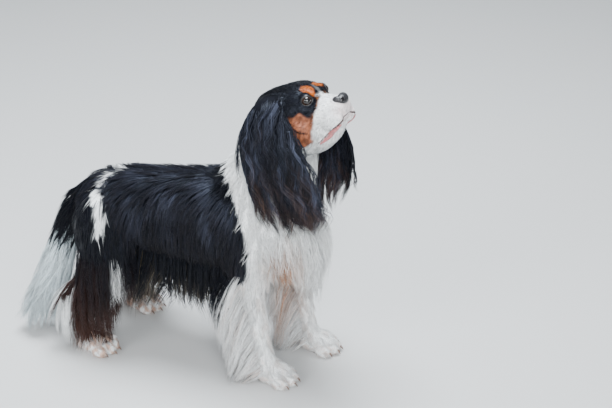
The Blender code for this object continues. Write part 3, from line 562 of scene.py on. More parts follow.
# where the white front meets the saddle: height, x
SADDLE_EDGE = (
    (0.150, 0.104),
    (0.182, 0.109),
    (0.206, 0.108),
    (0.241, 0.102),
    (0.269, 0.093),
    (0.2945, 0.078),
    (0.312, 0.067),
    (0.3234, 0.050),
    (0.335, 0.020),
    (0.345, 0.000),
)
RUMP_BAND = (
    (-0.118, 0.000, 0.290),
    (-0.134, 0.012, 0.286),
    (-0.144, 0.034, 0.274),
    (-0.142, 0.046, 0.267),
    (-0.136, 0.058, 0.257),
    (-0.125, 0.070, 0.248),
    (-0.119, 0.078, 0.238),
    (-0.126, 0.085, 0.205),
)
RUMP_BAND_HALF = ((0.205, 0.0030), (0.225, 0.0070), (0.240, 0.0088), (0.270, 0.0090), (0.285, 0.0080))
# where the white muzzle meets the mask and cheek, in the head's frame: height, x
MUZZLE_EDGE = (
    (-0.080, -0.060),
    (-0.066, -0.030),
    (-0.0619, -0.0163),
    (-0.0589, -0.0100),
    (-0.0437, -0.0027),
    (-0.0261, 0.0025),
    (-0.0137, 0.0095),
    (-0.0059, 0.0078),
    (0.0000, 0.0052),
    (0.010, 0.0048),
)
BLAZE_HALF = ((-0.012, 0.0), (-0.0085, 0.0006), (-0.002, 0.0010), (0.0025, 0.0030))
CHEEK_TOP = ((-0.036, -0.022), (-0.022, -0.0165), (-0.0138, -0.0163), (-0.0056, -0.021), (0.003, -0.0236))
CHEEK_LINE = ((-0.034, -0.022), (-0.026, -0.031), (-0.018, -0.038), (-0.009, -0.043))
BROW_SPOT = ((-0.0056, 0.0114), (0.0084, 0.0080))
PEACH_PATH = (
    (0.158, -0.056, 0.192),
    (0.156, -0.046, 0.150),
    (0.130, 0.018, 0.100),
    (0.130, 0.024, 0.075),
)
PEACH_REACH = 0.025
NOSE_TIP = np.array((0.036, 0.0, -0.027))
NOSE_PINK = np.array((0.66, 0.40, 0.38))
FAR_BROW_HALF = 0.0056
MARKING_BLEND = 0.0012
LEAST_SHARE = 0.05


def along(table, value):
    xs, ys = zip(*table)
    return np.interp(value, xs, ys)


def ripple(points, size, seed):
    """Soft random waves over a surface, about 1 high and that far apart."""
    chance = np.random.default_rng(seed)
    waves = chance.normal(size=(7, 3)) * 2.6 / size
    turns = chance.uniform(0, math.tau, 7)
    return np.sin(points @ waves.T + turns).sum(axis=1) / 2.2


def inside(distance, soft):
    """0 outside an edge and 1 inside it, over a soft width."""
    share = np.clip(0.5 + distance / soft, 0.0, 1.0)
    return share * share * (3 - 2 * share)


def laid_over(colour, other, share):
    return colour + (other - colour) * share[:, None]


def off_path(points, path):
    """How far each point lies from a path of straight runs."""
    best = np.full(len(points), 9.0)
    for start, end in zip(path, path[1:]):
        start, run = np.array(start), np.array(end) - np.array(start)
        share = np.clip((points - start) @ run / (run @ run), 0.0, 1.0)
        best = np.minimum(best, np.linalg.norm(points - start - share[:, None] * run, axis=1))
    return best


HEAD_TURNED = np.array(HEAD.to_3x3())
HEAD_MIDDLE = np.array(HEAD.translation)
STANCE_SHIFT = np.array(STANCE.translation)


def in_head(points):
    return (points - HEAD_MIDDLE) @ HEAD_TURNED


def face_colour(points):
    spot = in_head(points)
    x, y, z = spot.T
    wide = np.abs(y)
    rough = ripple(points, 0.006, 1) * 0.0007
    colour = np.tile(BLACK, (len(points), 1))
    top = along(CHEEK_TOP, x)
    cheek = np.minimum(np.minimum(top - z, z + 0.066), np.minimum(x + 0.036, wide - 0.016))
    tan = CHEEK_TAN * (1 + 0.30 * ripple(points, 0.004, 11))[:, None]
    colour = laid_over(colour, tan, inside(cheek + rough * 2.6, 0.0065))
    line = off_path(np.stack([x, z], axis=1), CHEEK_LINE)
    colour = laid_over(colour, BROWN * 0.5, inside(0.0013 - line, 0.0014) * inside(wide - 0.02, 0.004))
    edge = along(MUZZLE_EDGE, z)
    rim = inside(0.0008 - np.abs(x - edge + 0.0008), 0.0012) * inside(0.000 - z, 0.003)
    colour = laid_over(colour, TAN * 0.7, rim * inside(z + 0.03, 0.006) * 0.45)
    (mid_x, mid_y), (half_x, half_y) = BROW_SPOT
    half_x = np.where(y > 0, FAR_BROW_HALF, half_x)
    reach = np.sqrt(((x - mid_x) / half_x) ** 2 + ((wide - mid_y) / half_y) ** 2)
    brow = inside((1 - reach) * half_y + rough, 0.0016) * inside(z + 0.002, 0.003)
    colour = laid_over(colour, BROW_TAN, brow)
    white = inside(x - edge + rough, 0.0026)
    blaze = inside(along(BLAZE_HALF, x) - np.abs(y - 0.15 * np.maximum(0, -x)) + rough * 0.6, 0.0014)
    blaze = blaze * inside(x + 0.0105, 0.003)
    white = np.maximum(white, blaze * (z > 0.0) * 0.09)
    colour = laid_over(colour, WHITE, white)
    pink = inside(0.010 - np.linalg.norm(spot - NOSE_TIP, axis=1) * 0.5, 0.006)
    freckle = np.clip(ripple(points, 0.0035, 12) - 0.5, 0, 1) * 0.5
    colour = laid_over(colour, NOSE_PINK, pink * white * (0.34 + freckle * 0.5))
    return colour * (1 - 0.10 * white * np.clip(ripple(points, 0.005, 13), 0, 1))[:, None]


def peach_streak(points):
    """The warm stain down the breast and between the forelegs."""
    gap = off_path(points - STANCE_SHIFT, PEACH_PATH)
    return np.clip(np.exp(-((gap / PEACH_REACH) ** 2)) * (0.85 + 0.4 * ripple(points, 0.008, 3)), 0, 0.95)


def body_colour(points):
    own = points - STANCE_SHIFT
    x, y, z = own.T
    rough = ripple(points, 0.012, 2) * 0.0022
    colour = np.tile(BLACK, (len(points), 1))
    front = inside(x - along(SADDLE_EDGE, z) + rough, 0.007)
    colour = laid_over(colour, WHITE, front)
    folded = np.stack([x, np.abs(y), z], axis=1)
    band = inside(along(RUMP_BAND_HALF, z) - off_path(folded, RUMP_BAND) + rough * 0.8, 0.004)
    colour = laid_over(colour, WHITE, band)
    return laid_over(colour, PEACH, peach_streak(points) * front)


def foreleg_colour(points):
    own = points - STANCE_SHIFT
    z = own[:, 2]
    colour = body_colour(points)
    limit = np.interp(own[:, 0], (0.055, 0.080, 0.105), (0.132, 0.150, 0.180))
    low = inside(limit - z + ripple(points, 0.012, 4) * 0.003, 0.010)
    stain = np.clip(ripple(points, 0.014, 5), 0, 1) * inside(z - 0.02, 0.02) * 0.22
    stain = stain + 0.40 * inside(0.016 - z, 0.012) * np.clip(0.5 + ripple(points, 0.006, 6), 0, 1)
    stain = np.maximum(stain, peach_streak(points))
    return laid_over(colour, laid_over(np.tile(WHITE, (len(z), 1)), PEACH, stain), low)


def hindleg_colour(points, side):
    own = points - STANCE_SHIFT
    paw = PAWS["hindleg_right" if side < 0 else "hindleg_left"]
    x, y, z = own[:, 0] - paw.x, (own[:, 1] - paw.y) * side, own[:, 2]
    colour = body_colour(points)
    colour = laid_over(colour, BROWN, inside(0.120 - z, 0.09) * 0.9)
    inner = inside(-y - 0.034, 0.008) * inside(0.14 - z, 0.02) * inside(z - 0.065, 0.02)
    front = inside(x - 0.048, 0.006) * inside(0.060 - x, 0.006)
    front = front * inside(0.152 - z, 0.012) * inside(z - 0.112, 0.010)
    hock = inside(-x - 0.040 + 0.25 * z, 0.008) * inside(0.080 - z, 0.012)
    foot = inside(0.024 - z + ripple(points, 0.008, 7) * 0.003, 0.008)
    stain = np.clip(0.4 + 0.5 * ripple(points, 0.008, 8), 0, 0.75)
    pale = laid_over(np.tile(WHITE, (len(z), 1)), PEACH, stain * inside(0.03 - z, 0.01))
    share = np.maximum(np.maximum(inner, front * 0.85), np.maximum(hock, foot))
    return laid_over(colour, pale, share)


def tail_colour_and_shade(points):
    z = (points - STANCE_SHIFT)[:, 2]
    colour = np.tile(BLACK, (len(points), 1))
    # white below the root, in the tail's painted shade
    return laid_over(colour, SHADED_TAIL_WHITE, inside(0.164 - z + ripple(points, 0.008, 9) * 0.004, 0.012))


def neck_colour(points):
    z = (points - STANCE_SHIFT)[:, 2]
    nape = inside(z - 0.380 + ripple(points, 0.012, 10) * 0.003, 0.012)
    return laid_over(laid_over(body_colour(points), WHITE, inside(z - 0.335, 0.01)), BLACK, nape)


def ear_colour(points):
    return np.tile(BLACK, (len(points), 1))


PART_COLOUR = {
    "head": face_colour,
    "neck": neck_colour,
    "trunk": body_colour,
    "tail": tail_colour_and_shade,
    "foreleg_right": foreleg_colour,
    "foreleg_left": foreleg_colour,
    "hindleg_right": lambda points: hindleg_colour(points, -1),
    "hindleg_left": lambda points: hindleg_colour(points, 1),
    "ear_right": ear_colour,
    "ear_left": ear_colour,
}


def marked(points, gaps):
    """The coat's colour at points, blended where two masses of flesh meet."""
    weights = np.exp(-(gaps - gaps.min(axis=1, keepdims=True)) / MARKING_BLEND)
    weights = np.where(weights > LEAST_SHARE, weights, 0.0)
    weights = weights / weights.sum(axis=1, keepdims=True)
    colour = np.zeros((len(points), 3))
    for column, part in enumerate(PARTS):
        chosen = weights[:, column] > 0
        if chosen.any():
            colour[chosen] += PART_COLOUR[part](points[chosen]) * weights[chosen, column, None]
    return colour


# The hair's finish: the coat's stored colour, markings with some painted sheen and shade, broken
# by fine streaks, with the soft gloss of clean silky hair. The skin and every piece of coat share it.
def hair_streaks():
    """A node group that varies a hair colour in fine streaks and gives their height and gloss."""
    group = bpy.data.node_groups.new("hair_streaks", "ShaderNodeTree")
    for name, kind, way in (
        ("Colour", "NodeSocketColor", "INPUT"),
        ("Scale", "NodeSocketFloat", "INPUT"),
        ("Variety", "NodeSocketFloat", "INPUT"),
        ("Colour", "NodeSocketColor", "OUTPUT"),
        ("Height", "NodeSocketFloat", "OUTPUT"),
        ("Roughness", "NodeSocketFloat", "OUTPUT"),
    ):
        group.interface.new_socket(name, in_out=way, socket_type=kind)
    nodes, links = group.nodes, group.links
    given = nodes.new("NodeGroupInput")
    put = nodes.new("NodeGroupOutput")
    place = nodes.new("ShaderNodeTexCoord")
    stretch = nodes.new("ShaderNodeMapping")
    stretch.inputs["Scale"].default_value = (1.0, 1.0, 0.22)
    links.new(place.outputs["Object"], stretch.inputs["Vector"])
    grain = nodes.new("ShaderNodeTexNoise")
    grain.inputs["Detail"].default_value = 3.0
    links.new(stretch.outputs["Vector"], grain.inputs["Vector"])
    links.new(given.outputs["Scale"], grain.inputs["Scale"])
    spread = nodes.new("ShaderNodeMapRange")
    spread.inputs["From Min"].default_value = 0.3
    spread.inputs["From Max"].default_value = 0.7
    spread.inputs["To Min"].default_value = -1.0
    spread.inputs["To Max"].default_value = 1.0
    links.new(grain.outputs["Fac"], spread.inputs["Value"])
    amount = nodes.new("ShaderNodeMath")
    amount.operation = "MULTIPLY_ADD"
    amount.inputs[2].default_value = 1.0
    links.new(spread.outputs["Result"], amount.inputs[0])
    links.new(given.outputs["Variety"], amount.inputs[1])
    shade = nodes.new("ShaderNodeVectorMath")
    shade.operation = "SCALE"
    links.new(given.outputs["Colour"], shade.inputs[0])
    links.new(amount.outputs["Value"], shade.inputs["Scale"])
    gloss = nodes.new("ShaderNodeMapRange")
    gloss.inputs["To Min"].default_value = 0.26
    gloss.inputs["To Max"].default_value = 0.46
    links.new(grain.outputs["Fac"], gloss.inputs["Value"])
    links.new(shade.outputs["Vector"], put.inputs["Colour"])
    links.new(grain.outputs["Fac"], put.inputs["Height"])
    links.new(gloss.outputs["Result"], put.inputs["Roughness"])
    return group


STREAKS = hair_streaks()


def hair_material(name, scale, variety, bump, gloss):
    finish, nodes, links, shader = new_finish(name)
    shader.inputs["Specular IOR Level"].default_value = gloss
    shader.inputs["Specular Tint"].default_value = (0.70, 0.80, 1.0, 1.0)
    shader.inputs["Sheen Weight"].default_value = 0.02
    shader.inputs["Sheen Roughness"].default_value = 0.4
    dye_and_painted_light = nodes.new("ShaderNodeAttribute")
    dye_and_painted_light.attribute_name = "coat"
    streaks = nodes.new("ShaderNodeGroup")
    streaks.node_tree = STREAKS
    streaks.inputs["Scale"].default_value = scale
    streaks.inputs["Variety"].default_value = variety
    links.new(dye_and_painted_light.outputs["Color"], streaks.inputs["Colour"])
    links.new(streaks.outputs["Colour"], shader.inputs["Base Color"])
    links.new(streaks.outputs["Roughness"], shader.inputs["Roughness"])
    if bump:
        lump = nodes.new("ShaderNodeBump")
        lump.inputs["Strength"].default_value = 0.5
        lump.inputs["Distance"].default_value = bump
        links.new(streaks.outputs["Height"], lump.inputs["Height"])
        links.new(lump.outputs["Normal"], shader.inputs["Normal"])
    return finish


def dye_and_painted_light(mesh, colours):
    """Stores the coat's colours, markings with some painted sheen and shade, at a mesh's points."""
    layer = mesh.attributes.new("coat", "FLOAT_COLOR", "POINT")
    full = np.ones((len(colours), 4))
    full[:, :3] = colours
    layer.data.foreach_set("color", full.ravel())


vert_gaps = np.full((len(skin_verts), len(PARTS)), 1.0)
for corner in range(3):
    vert_gaps[tri_verts[:, corner]] = tri_gaps
dye_and_painted_light(skin.data, marked(skin_verts, vert_gaps))
skin.data.materials.append(hair_material("under_coat", 900.0, 0.28, 0.0006, 0.16))
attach(skin, "root")
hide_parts("head", "neck", "torso")


# The coat grows from the skin in fine tufts. Each tuft is a thin tapered blade with
# three sides that leaves the skin low, follows the lie and sags with its weight.
# Neighbours draw together to a shared tip, as the locks of silky hair do.
DOWN = np.array((0.0, 0.0, -1.0))
TUFT_SINK = 0.0012
FLOOR_GAP = 0.0008
LENGTH_SPREAD = (0.80, 1.12)
WIDTH_SPREAD = (0.75, 1.25)
LIGHT_SPREAD = (0.35, 2.2)
# a tuft takes the coat's colour of the spot this share of its length further along its lie
COVERED_AT = 0.45
LIE_BLEND = 0.005
LIE_WANDER = 0.10


def unit(vectors):
    return vectors / np.maximum(np.linalg.norm(vectors, axis=-1, keepdims=True), 1e-9)


class Roots:
    """Where the tufts of one piece of coat grow."""

    def __init__(self, count, density, seed):
        chance = np.random.default_rng(seed)
        weight = tri_areas * density
        self.tri = chance.choice(len(weight), size=count, p=weight / weight.sum())
        shares = chance.dirichlet((1.0, 1.0, 1.0), size=count)[:, :, None]
        self.at = (tri_corners[self.tri] * shares).sum(axis=1)
        self.way = unit((skin_normals[tri_verts[self.tri]] * shares).sum(axis=1))
        self.uv = (skin_uvs[tri_loops[self.tri]] * shares).sum(axis=1)
        self.gaps = tri_gaps[self.tri]
        self.part = tri_part[self.tri]
        self.own = self.at - STANCE_SHIFT
        self.head = in_head(self.at)
        self.chance = chance
        self.count = count

    def comb(self, length, lie=None, hug=1.0):
        """Sets how long and which way the tufts grow, and the colour of the spot each one covers."""
        self.length = length * self.chance.uniform(*LENGTH_SPREAD, self.count)
        self.lie = combed(self) if lie is None else unit(lie)
        self.hug = hug
        self.colour = marked(self.at + self.lie * (COVERED_AT * self.length)[:, None], self.gaps)


def part_lies(roots):
    """The lie of the coat over each part of the body, for every root."""
    x, y, z = roots.own.T
    out_x, out_y, out_z = roots.way.T
    ones = np.ones(roots.count)
    lies = {}
    on_top = np.clip(out_z * 4 - 3, 0, 1)[:, None]
    flank = np.array((-0.08, 0.0, -1.0))
    spine = np.stack([-0.70 * ones, 0.75 * np.clip(y / 0.035, -1, 1), -0.15 * ones], axis=1)
    lie = flank * (1 - on_top) + spine * on_top
    in_front = np.clip((x - 0.10) / 0.05, 0, 1)[:, None]
    breast = np.stack([0.75 * out_x, 0.3 * out_y, -ones], axis=1)
    lie = lie * (1 - in_front) + breast * in_front
    behind = np.clip((-0.12 - x) / 0.05, 0, 1)[:, None]
    rump = np.stack([-0.32 * ones, 0.30 * np.sign(y), -0.9 * ones], axis=1)
    lies["trunk"] = lie * (1 - behind) + rump * behind
    lies["neck"] = np.stack([-0.22 + 0.40 * out_x, 0.35 * out_y, -ones], axis=1)
    lies["tail"] = np.array((-0.30, -0.18, -1.0))
    foreleg = np.stack([-0.14 - 0.3 * (out_x < -0.2), 0 * ones, -ones], axis=1)
    hindleg = np.array((0.02, 0.0, -1.0))
    toes = np.array((0.9, 0.0, -0.45))
    on_paw = np.clip((0.034 - z) / 0.012, 0, 1)[:, None]
    for word in ("right", "left"):
        lies["foreleg_" + word] = foreleg * (1 - on_paw) + toes * on_paw
        lies["hindleg_" + word] = hindleg * (1 - on_paw) + toes * on_paw
        lies["ear_" + word] = np.array((0.25, 0.0, -1.0))
    x, y, z = roots.head.T
    top = np.stack([-ones, 0.25 * np.sign(y) + 8 * y, 0.05 * ones], axis=1)
    jaw = np.stack([-0.75 * ones, 3 * y, -0.70 * ones], axis=1)
    crown = np.stack([-0.15 * ones, 14 * y, -ones], axis=1)
    low = np.clip((-0.018 - z) / 0.03, 0, 1)[:, None]
    lie = top * (1 - low) + jaw * low
    beside = np.clip((-0.03 - x) / 0.03, 0, 1)[:, None] * np.clip(np.abs(y) / 0.03, 0, 1)[:, None]
    lies["head"] = unit(lie * (1 - beside) + crown * beside) @ HEAD_TURNED.T
    return lies


def combed(roots):
    """One lie for each root, blended where two parts meet."""
    lies = part_lies(roots)
    weights = np.exp(-(roots.gaps - roots.gaps.min(axis=1, keepdims=True)) / LIE_BLEND)
    lie = sum(unit(lies[part]) * weights[:, k, None] for k, part in enumerate(PARTS))
    wander = np.stack([ripple(roots.at, 0.05, 20 + k) for k in range(3)], axis=1)
    return unit(lie + LIE_WANDER * wander)


def over_skin(points):
    """The nearest skin to each point, and the way out of it there."""
    spots, ways = np.empty_like(points), np.empty_like(points)
    for row, point in enumerate(points):
        spot, way, _, _ = skin_tree.find_nearest(point)
        spots[row] = spot
        ways[row] = way
    return spots, ways


def settled(points, hold, high, hug):
    """Points lifted to hold above the skin at least, and drawn by hug towards high above it."""
    spots, ways = over_skin(points)
    gap = ((points - spots) * ways).sum(axis=1)
    lift = np.maximum(hold - gap, 0.0)
    lift = np.where(gap > hold, (high - gap) * hug, lift)
    points = points + ways * lift[:, None]
    points[:, 2] = np.maximum(points[:, 2], FLOOR_GAP)
    return points, ways


def lay_paths(at, way, lie, length, hug, style):
    """The paths of tufts from their roots, before any wave."""
    into = (lie * way).sum(axis=1, keepdims=True)
    close = hug[:, None]
    tangent = unit(lie - way * np.where(into < 0, into, into * close))
    point = at.copy()
    path = [point]
    for i in range(style["rings"]):
        share = (i + 1) / style["rings"]
        heading = tangent + way * style["lift"] * (1 - share)
        heading = unit(heading + DOWN * style["sag"] * share)
        point = point + heading * (length / style["rings"])[:, None]
        point, way = settled(point, style["hold"] * share, style["depth"] * share, hug)
        along_skin = tangent - way * (tangent * way).sum(axis=1, keepdims=True)
        tangent = unit(tangent * (1 - close) + along_skin * close)
        path.append(point)
    return np.stack(path, axis=1)


def tuft_mesh(name, path, roots, width, style, colour, tip_colour):
    """Joined three-sided blades along paths, with their place on the unwrap and their colour."""
    count, rings = path.shape[0], path.shape[1] - 1
    run = unit(np.gradient(path, axis=1))
    side = np.cross(run[:, 0], roots.way)
    weak = np.linalg.norm(side, axis=1) < 0.2
    side[weak] = np.cross(run[weak, 0], np.array((0.3, 1.0, 0.1)))
    side = unit(side)[:, None, :]
    side = unit(side - run * (side * run).sum(axis=2, keepdims=True))
    out = np.cross(side, run)
    share = np.linspace(0.0, 1.0, rings + 1)[None, :, None]
    girth = (0.62 + 0.38 * np.minimum(1.0, 3 * share)) * (1 - share ** 2.2) * width[:, None, None] / 2
    verts = np.empty((count, rings * 3 + 1, 3))
    for corner, angle in enumerate((90, 210, 330)):
        turn = math.radians(angle)
        ring = path + (side * math.cos(turn) + out * (math.sin(turn) * style["flat"])) * girth
        verts[:, corner:rings * 3:3] = ring[:, :rings]
    verts[:, -1] = path[:, -1]
    quads = []
    for ring in range(rings - 1):
        for corner in range(3):
            here, there = ring * 3 + corner, ring * 3 + (corner + 1) % 3
            quads.append((here, there, there + 3, here + 3))
    last, tip = (rings - 1) * 3, rings * 3
    tris = [(last + c, last + (c + 1) % 3, tip) for c in range(3)] + [(2, 1, 0)]
    pattern = [index for face in quads + tris for index in face]
    sizes = [4] * len(quads) + [3] * len(tris)
    each = rings * 3 + 1
    loops = (np.array(pattern)[None, :] + np.arange(count)[:, None] * each).ravel()
    totals = np.tile(sizes, count)
    starts = np.concatenate([[0], np.cumsum(totals)[:-1]])
    mesh = bpy.data.meshes.new(name)
    mesh.vertices.add(count * each)
    mesh.vertices.foreach_set("co", verts.ravel())
    mesh.loops.add(len(loops))
    mesh.loops.foreach_set("vertex_index", loops.astype(np.int32))
    mesh.polygons.add(len(totals))
    mesh.polygons.foreach_set("loop_start", starts.astype(np.int32))
    mesh.polygons.foreach_set("use_smooth", np.ones(len(totals), dtype=bool))
    mesh.update(calc_edges=True)
    rank = np.minimum(np.arange(each) // 3, rings)
    place = np.stack([(np.arange(each) % 3) / 2 - 0.5, rank / rings - 0.5], axis=1)
    place[-1] = (0.0, 0.5)
    spots = (roots.uv[:, None, :] + place[None, :, :] * TUFT_PATCH).reshape(-1, 2)
    layer = mesh.uv_layers.new(name="OFBake")
    layer.data.foreach_set("uv", spots[loops].ravel())
    start = style["tip_start"]
    fade = np.clip((rank / rings - start) / (1 - start), 0, 1)[None, :, None]
    shades = colour[:, None, :] * (1 - fade) + tip_colour[:, None, :] * fade
    dye_and_painted_light(mesh, shades.reshape(-1, 3))
    return put_in_scene(name, mesh)


def grow(name, roots, width, style, tip_colour):
    """One piece of coat: guides are laid first, and each tuft leans on the guide of its lock."""
    chance, rings = roots.chance, style["rings"]
    lie, length = roots.lie, roots.length
    hug = np.clip(style["hug"] * roots.hug * np.ones(roots.count), 0.0, 0.85)
    leads = chance.choice(roots.count, size=max(8, roots.count // style["per_lock"]), replace=False)
    guide = lay_paths(roots.at[leads], roots.way[leads], lie[leads], length[leads], hug[leads], style)
    share = np.linspace(0, 1, rings + 1)
    run = unit(guide[:, -1] - guide[:, 0])
    across = unit(np.cross(run, roots.way[leads]))
    turn = chance.uniform(0, math.tau, len(leads))[:, None]
    cycles = (length[leads] / style["wave_length"])[:, None] * chance.uniform(0.8, 1.25, (len(leads), 1))
    swing = np.sin(turn + math.tau * cycles * share[None, :]) - np.sin(turn)
    swing = swing * style["wave"] * (0.25 + 0.75 * share[None, :]) * np.minimum(1, 3 * share)[None, :]
    guide = guide + across[:, None, :] * swing[:, :, None]
    finder = KDTree(len(leads))
    for i, lead in enumerate(leads):
        finder.insert(roots.at[lead], i)
    finder.balance()
    mine = np.array([finder.find(point)[1] for point in roots.at])
    ratio = np.clip(length / length[leads][mine], 0.6, 1.5)
    shift = roots.at - roots.at[leads][mine]
    near = np.linalg.norm(shift, axis=1, keepdims=True)
    path = roots.at[:, None, :] + (guide[mine] - guide[mine][:, :1]) * ratio[:, None, None]
    pinch = style["pinch"] * np.clip(0.02 / np.maximum(near, 0.02), 0, 1)
    path = path - shift[:, None, :] * (pinch * share[None, :] ** 1.4)[:, :, None]
    stray = chance.normal(size=(roots.count, 3)) * style["stray"]
    path = path + stray[:, None, :] * (share[None, :, None] ** 1.6)
    for i in range(1, rings + 1):
        level_up = chance.uniform(0.5, 1.0, roots.count)
        hold = style["hold"] * share[i] * level_up
        path[:, i], _ = settled(path[:, i], hold, style["depth"] * share[i] * level_up, hug * 0.8)
    path[:, 0] -= roots.way * TUFT_SINK
    light = chance.normal(1.0, style["shade"], roots.count)
    light = light * chance.normal(1.0, style["lock_shade"], len(leads))[mine]
    light = np.clip(light, *LIGHT_SPREAD)[:, None]
    width = width * chance.uniform(*WIDTH_SPREAD, roots.count)
    piece = tuft_mesh(name, path, roots, width, style, roots.colour * light, tip_colour * light)
    piece.data.materials.append(COAT_FINISH)
    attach(piece, "root")
    return piece


COAT_FINISH = hair_material("coat_hair", 700.0, 0.18, 0.0, 0.21)
# A style gives a tuft's rings, how many share a lock, how it leaves the skin and sags, how
# near the skin it is held, its wave, and how far its tip, its light and its shape vary.
SHORT = dict(
    rings=2, per_lock=7, lift=0.28, sag=0.05, depth=0.0016, hold=0.0006, hug=0.75, wave=0.0003,
    wave_length=0.02, pinch=0.5, stray=0.0006, shade=0.14, lock_shade=0.08, flat=0.45, tip_start=0.5,
)
SILKY = dict(
    rings=4, per_lock=9, lift=0.30, sag=0.10, depth=0.0055, hold=0.0018, hug=0.55, wave=0.0012,
    wave_length=0.05, pinch=0.7, stray=0.0010, shade=0.20, lock_shade=0.16, flat=0.4, tip_start=0.45,
)
FEATHER = dict(
    rings=6, per_lock=12, lift=0.35, sag=0.45, depth=0.010, hold=0.0030, hug=0.10, wave=0.0028,
    wave_length=0.050, pinch=0.80, stray=0.0020, shade=0.16, lock_shade=0.14, flat=0.4, tip_start=0.45,
)


def is_part(*names):
    """1 on the skin of these parts, 0 elsewhere."""
    return np.isin(tri_part, [PARTS.index(name) for name in names]).astype(float)


tri_own = tri_middles - STANCE_SHIFT
tri_head = in_head(tri_middles)


# The short coat of the head: smooth on skull and muzzle, a little longer on the cheeks,
# at the back of the skull and under the jaw, where it runs out into the ears and throat.
FACE_COUNT = 12000
EYE_CLEAR = 0.0098
NOSE_BACK = 0.0385
# from the back of the skull to the nose: x, density and x, length; up the jaw: z, share
FACE_DENSITY = ((-0.08, 0.8), (-0.02, 1.0), (0.03, 1.5))
FACE_LENGTH = ((-0.07, 0.026), (-0.035, 0.0150), (-0.01, 0.0075), (0.02, 0.0052), (0.036, 0.0034))
JAW_LONGER = ((-0.075, 1.9), (-0.055, 1.4), (-0.035, 1.0))

eye_spots = [np.array(eye_frame(side).translation) for side in (-1, 1)]
eye_gap = np.min([np.linalg.norm(tri_middles - spot, axis=1) for spot in eye_spots], axis=0)
on_head = is_part("head") * (eye_gap > EYE_CLEAR) * (tri_head[:, 0] < NOSE_BACK)
face = Roots(FACE_COUNT, on_head * along(FACE_DENSITY, tri_head[:, 0]), 31)
face_length = along(FACE_LENGTH, face.head[:, 0]) * along(JAW_LONGER, face.head[:, 2])
face_width = np.interp(face_length, (0.003, 0.02), (0.00042, 0.0008))
face.comb(face_length)
head_coat = grow("head_coat", face, face_width, SHORT, face.colour)
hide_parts("head")


# The long coat of the ears: silky wavy hair from the whole flap and from the side of the
# skull above it, swept forward, with painted sheen on some locks and brown tips that curl at the lower
# edge.
EAR_STYLE = dict(
    FEATHER, rings=10, per_lock=24, lift=0.10, sag=0.25, hold=0.0060, hug=0.05, wave=0.0058,
    wave_length=0.034, pinch=0.86, stray=0.0018, tip_start=0.50, shade=0.25, lock_shade=0.45,
)
# the far ear hangs straighter and calmer
EAR_CHANGE = {"right": {}, "left": {"hold": 0.0035, "wave": 0.0030, "stray": 0.0010, "hug": 0.12}}
EAR_COUNT = {"right": 3350, "left": 2300}
EAR_HAIR_WIDTH = 0.0013
EAR_HEIGHT = 0.114
# forward sweep at the flap's back and front edge, and the share of it from the root down
EAR_SWEEP = {"right": (0.38, 0.54), "left": (0.30, 0.02)}
EAR_SWEEP_GROWS = ((0.0, 0.45), (0.35, 1.0))
# share of the length at the back edge, the middle and the front edge
EAR_REACH = {"right": (1.0, 1.10, 0.88), "left": (1.25, 1.22, 1.0)}
EAR_LENGTH = ((0.0, 0.066), (0.3, 0.088), (0.62, 0.098), (0.94, 0.088), (1.0, 0.082))
EAR_HUG = ((0.0, 14.0), (0.25, 8.0), (0.60, 1.0))
# the flap's rim grows hair only from this far below its root; its inner side grows less
EAR_RIM_BELOW = {"right": 0.018, "left": 0.095}
EAR_RIM_TURN = 0.45
EAR_INNER_SHARE = 0.30
EAR_TIP = np.array((0.150, 0.082, 0.052))
SIDES = (("right", -1), ("left", 1))

for word, side in SIDES:
    name = "ear_" + word
    hem = ear_frame(side)
    outward = np.array(hem.to_3x3() @ Vector((0.0, side, 0.0)))
    forward = np.array(hem.to_3x3() @ Vector((1.0, 0.0, 0.0)))
    crown = (tri_head[:, 0] < -0.046) * (np.abs(tri_head[:, 2]) < 0.010) * (tri_head[:, 1] * side > 0.032)
    facing = tri_ways @ outward
    low = hem.translation.z - tri_middles[:, 2] > EAR_RIM_BELOW[word]
    flap = np.where(facing > 0, 1.0, EAR_INNER_SHARE) * ((np.abs(facing) > EAR_RIM_TURN) | low)
    ear_zone = is_part(name) * flap + is_part("head") * crown * 1.1
    ear = Roots(EAR_COUNT[word], ear_zone, 40 + side)
    down = np.clip((hem.translation.z - ear.at[:, 2]) / EAR_HEIGHT, 0, 1)
    reach = (ear.at - np.array(hem.translation)) @ forward
    front = np.clip((reach + 0.045) / 0.11, 0, 1)
    sweep = np.interp(front, (0, 1), EAR_SWEEP[word]) * along(EAR_SWEEP_GROWS, down)
    lie = DOWN + forward * sweep[:, None] + outward * 0.06
    length = along(EAR_LENGTH, down) * np.interp(front, (0, 0.5, 1), EAR_REACH[word])
    ear.comb(length, lie, along(EAR_HUG, down))
    # painted sheen: clumps of locks and single tufts are laid over with bluish grey, as painted highlights
    # on the black ear
    painted_glint = np.clip(ripple(ear.at * np.array((1.0, 1.0, 0.5)), 0.010, 44), 0, 1.4) ** 2
    painted_glint = 0.9 * ear.chance.uniform(0, 1, ear.count) ** 4 + 0.85 * painted_glint
    ear.colour = laid_over(ear_colour(ear.at), PAINTED_SHEEN, painted_glint)
    brown = ear.chance.uniform(0, 1, ear.count) ** 2 * np.interp(down, (0.2, 0.6), (0.1, 1.0))
    tips = laid_over(ear.colour, EAR_TIP, brown)
    width = np.full(ear.count, EAR_HAIR_WIDTH)
    ear_coat = grow(name + "_coat", ear, width, dict(EAR_STYLE, **EAR_CHANGE[word]), tips)
    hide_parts(name)


# The ruff: long white hair of the neck, shoulders and chest, in soft wavy locks that
# hang down and a little outward at the front.
RUFF_STYLE = dict(
    FEATHER, rings=5, lift=0.50, sag=0.30, depth=0.012, hug=0.22, shade=0.06, lock_shade=0.05,
)
RUFF_COUNT = 6600
RUFF_HAIR_WIDTH = 0.0011
RUFF_LONGER = ((0.16, 1.25), (0.22, 1.2), (0.26, 0.9), (0.32, 0.75))

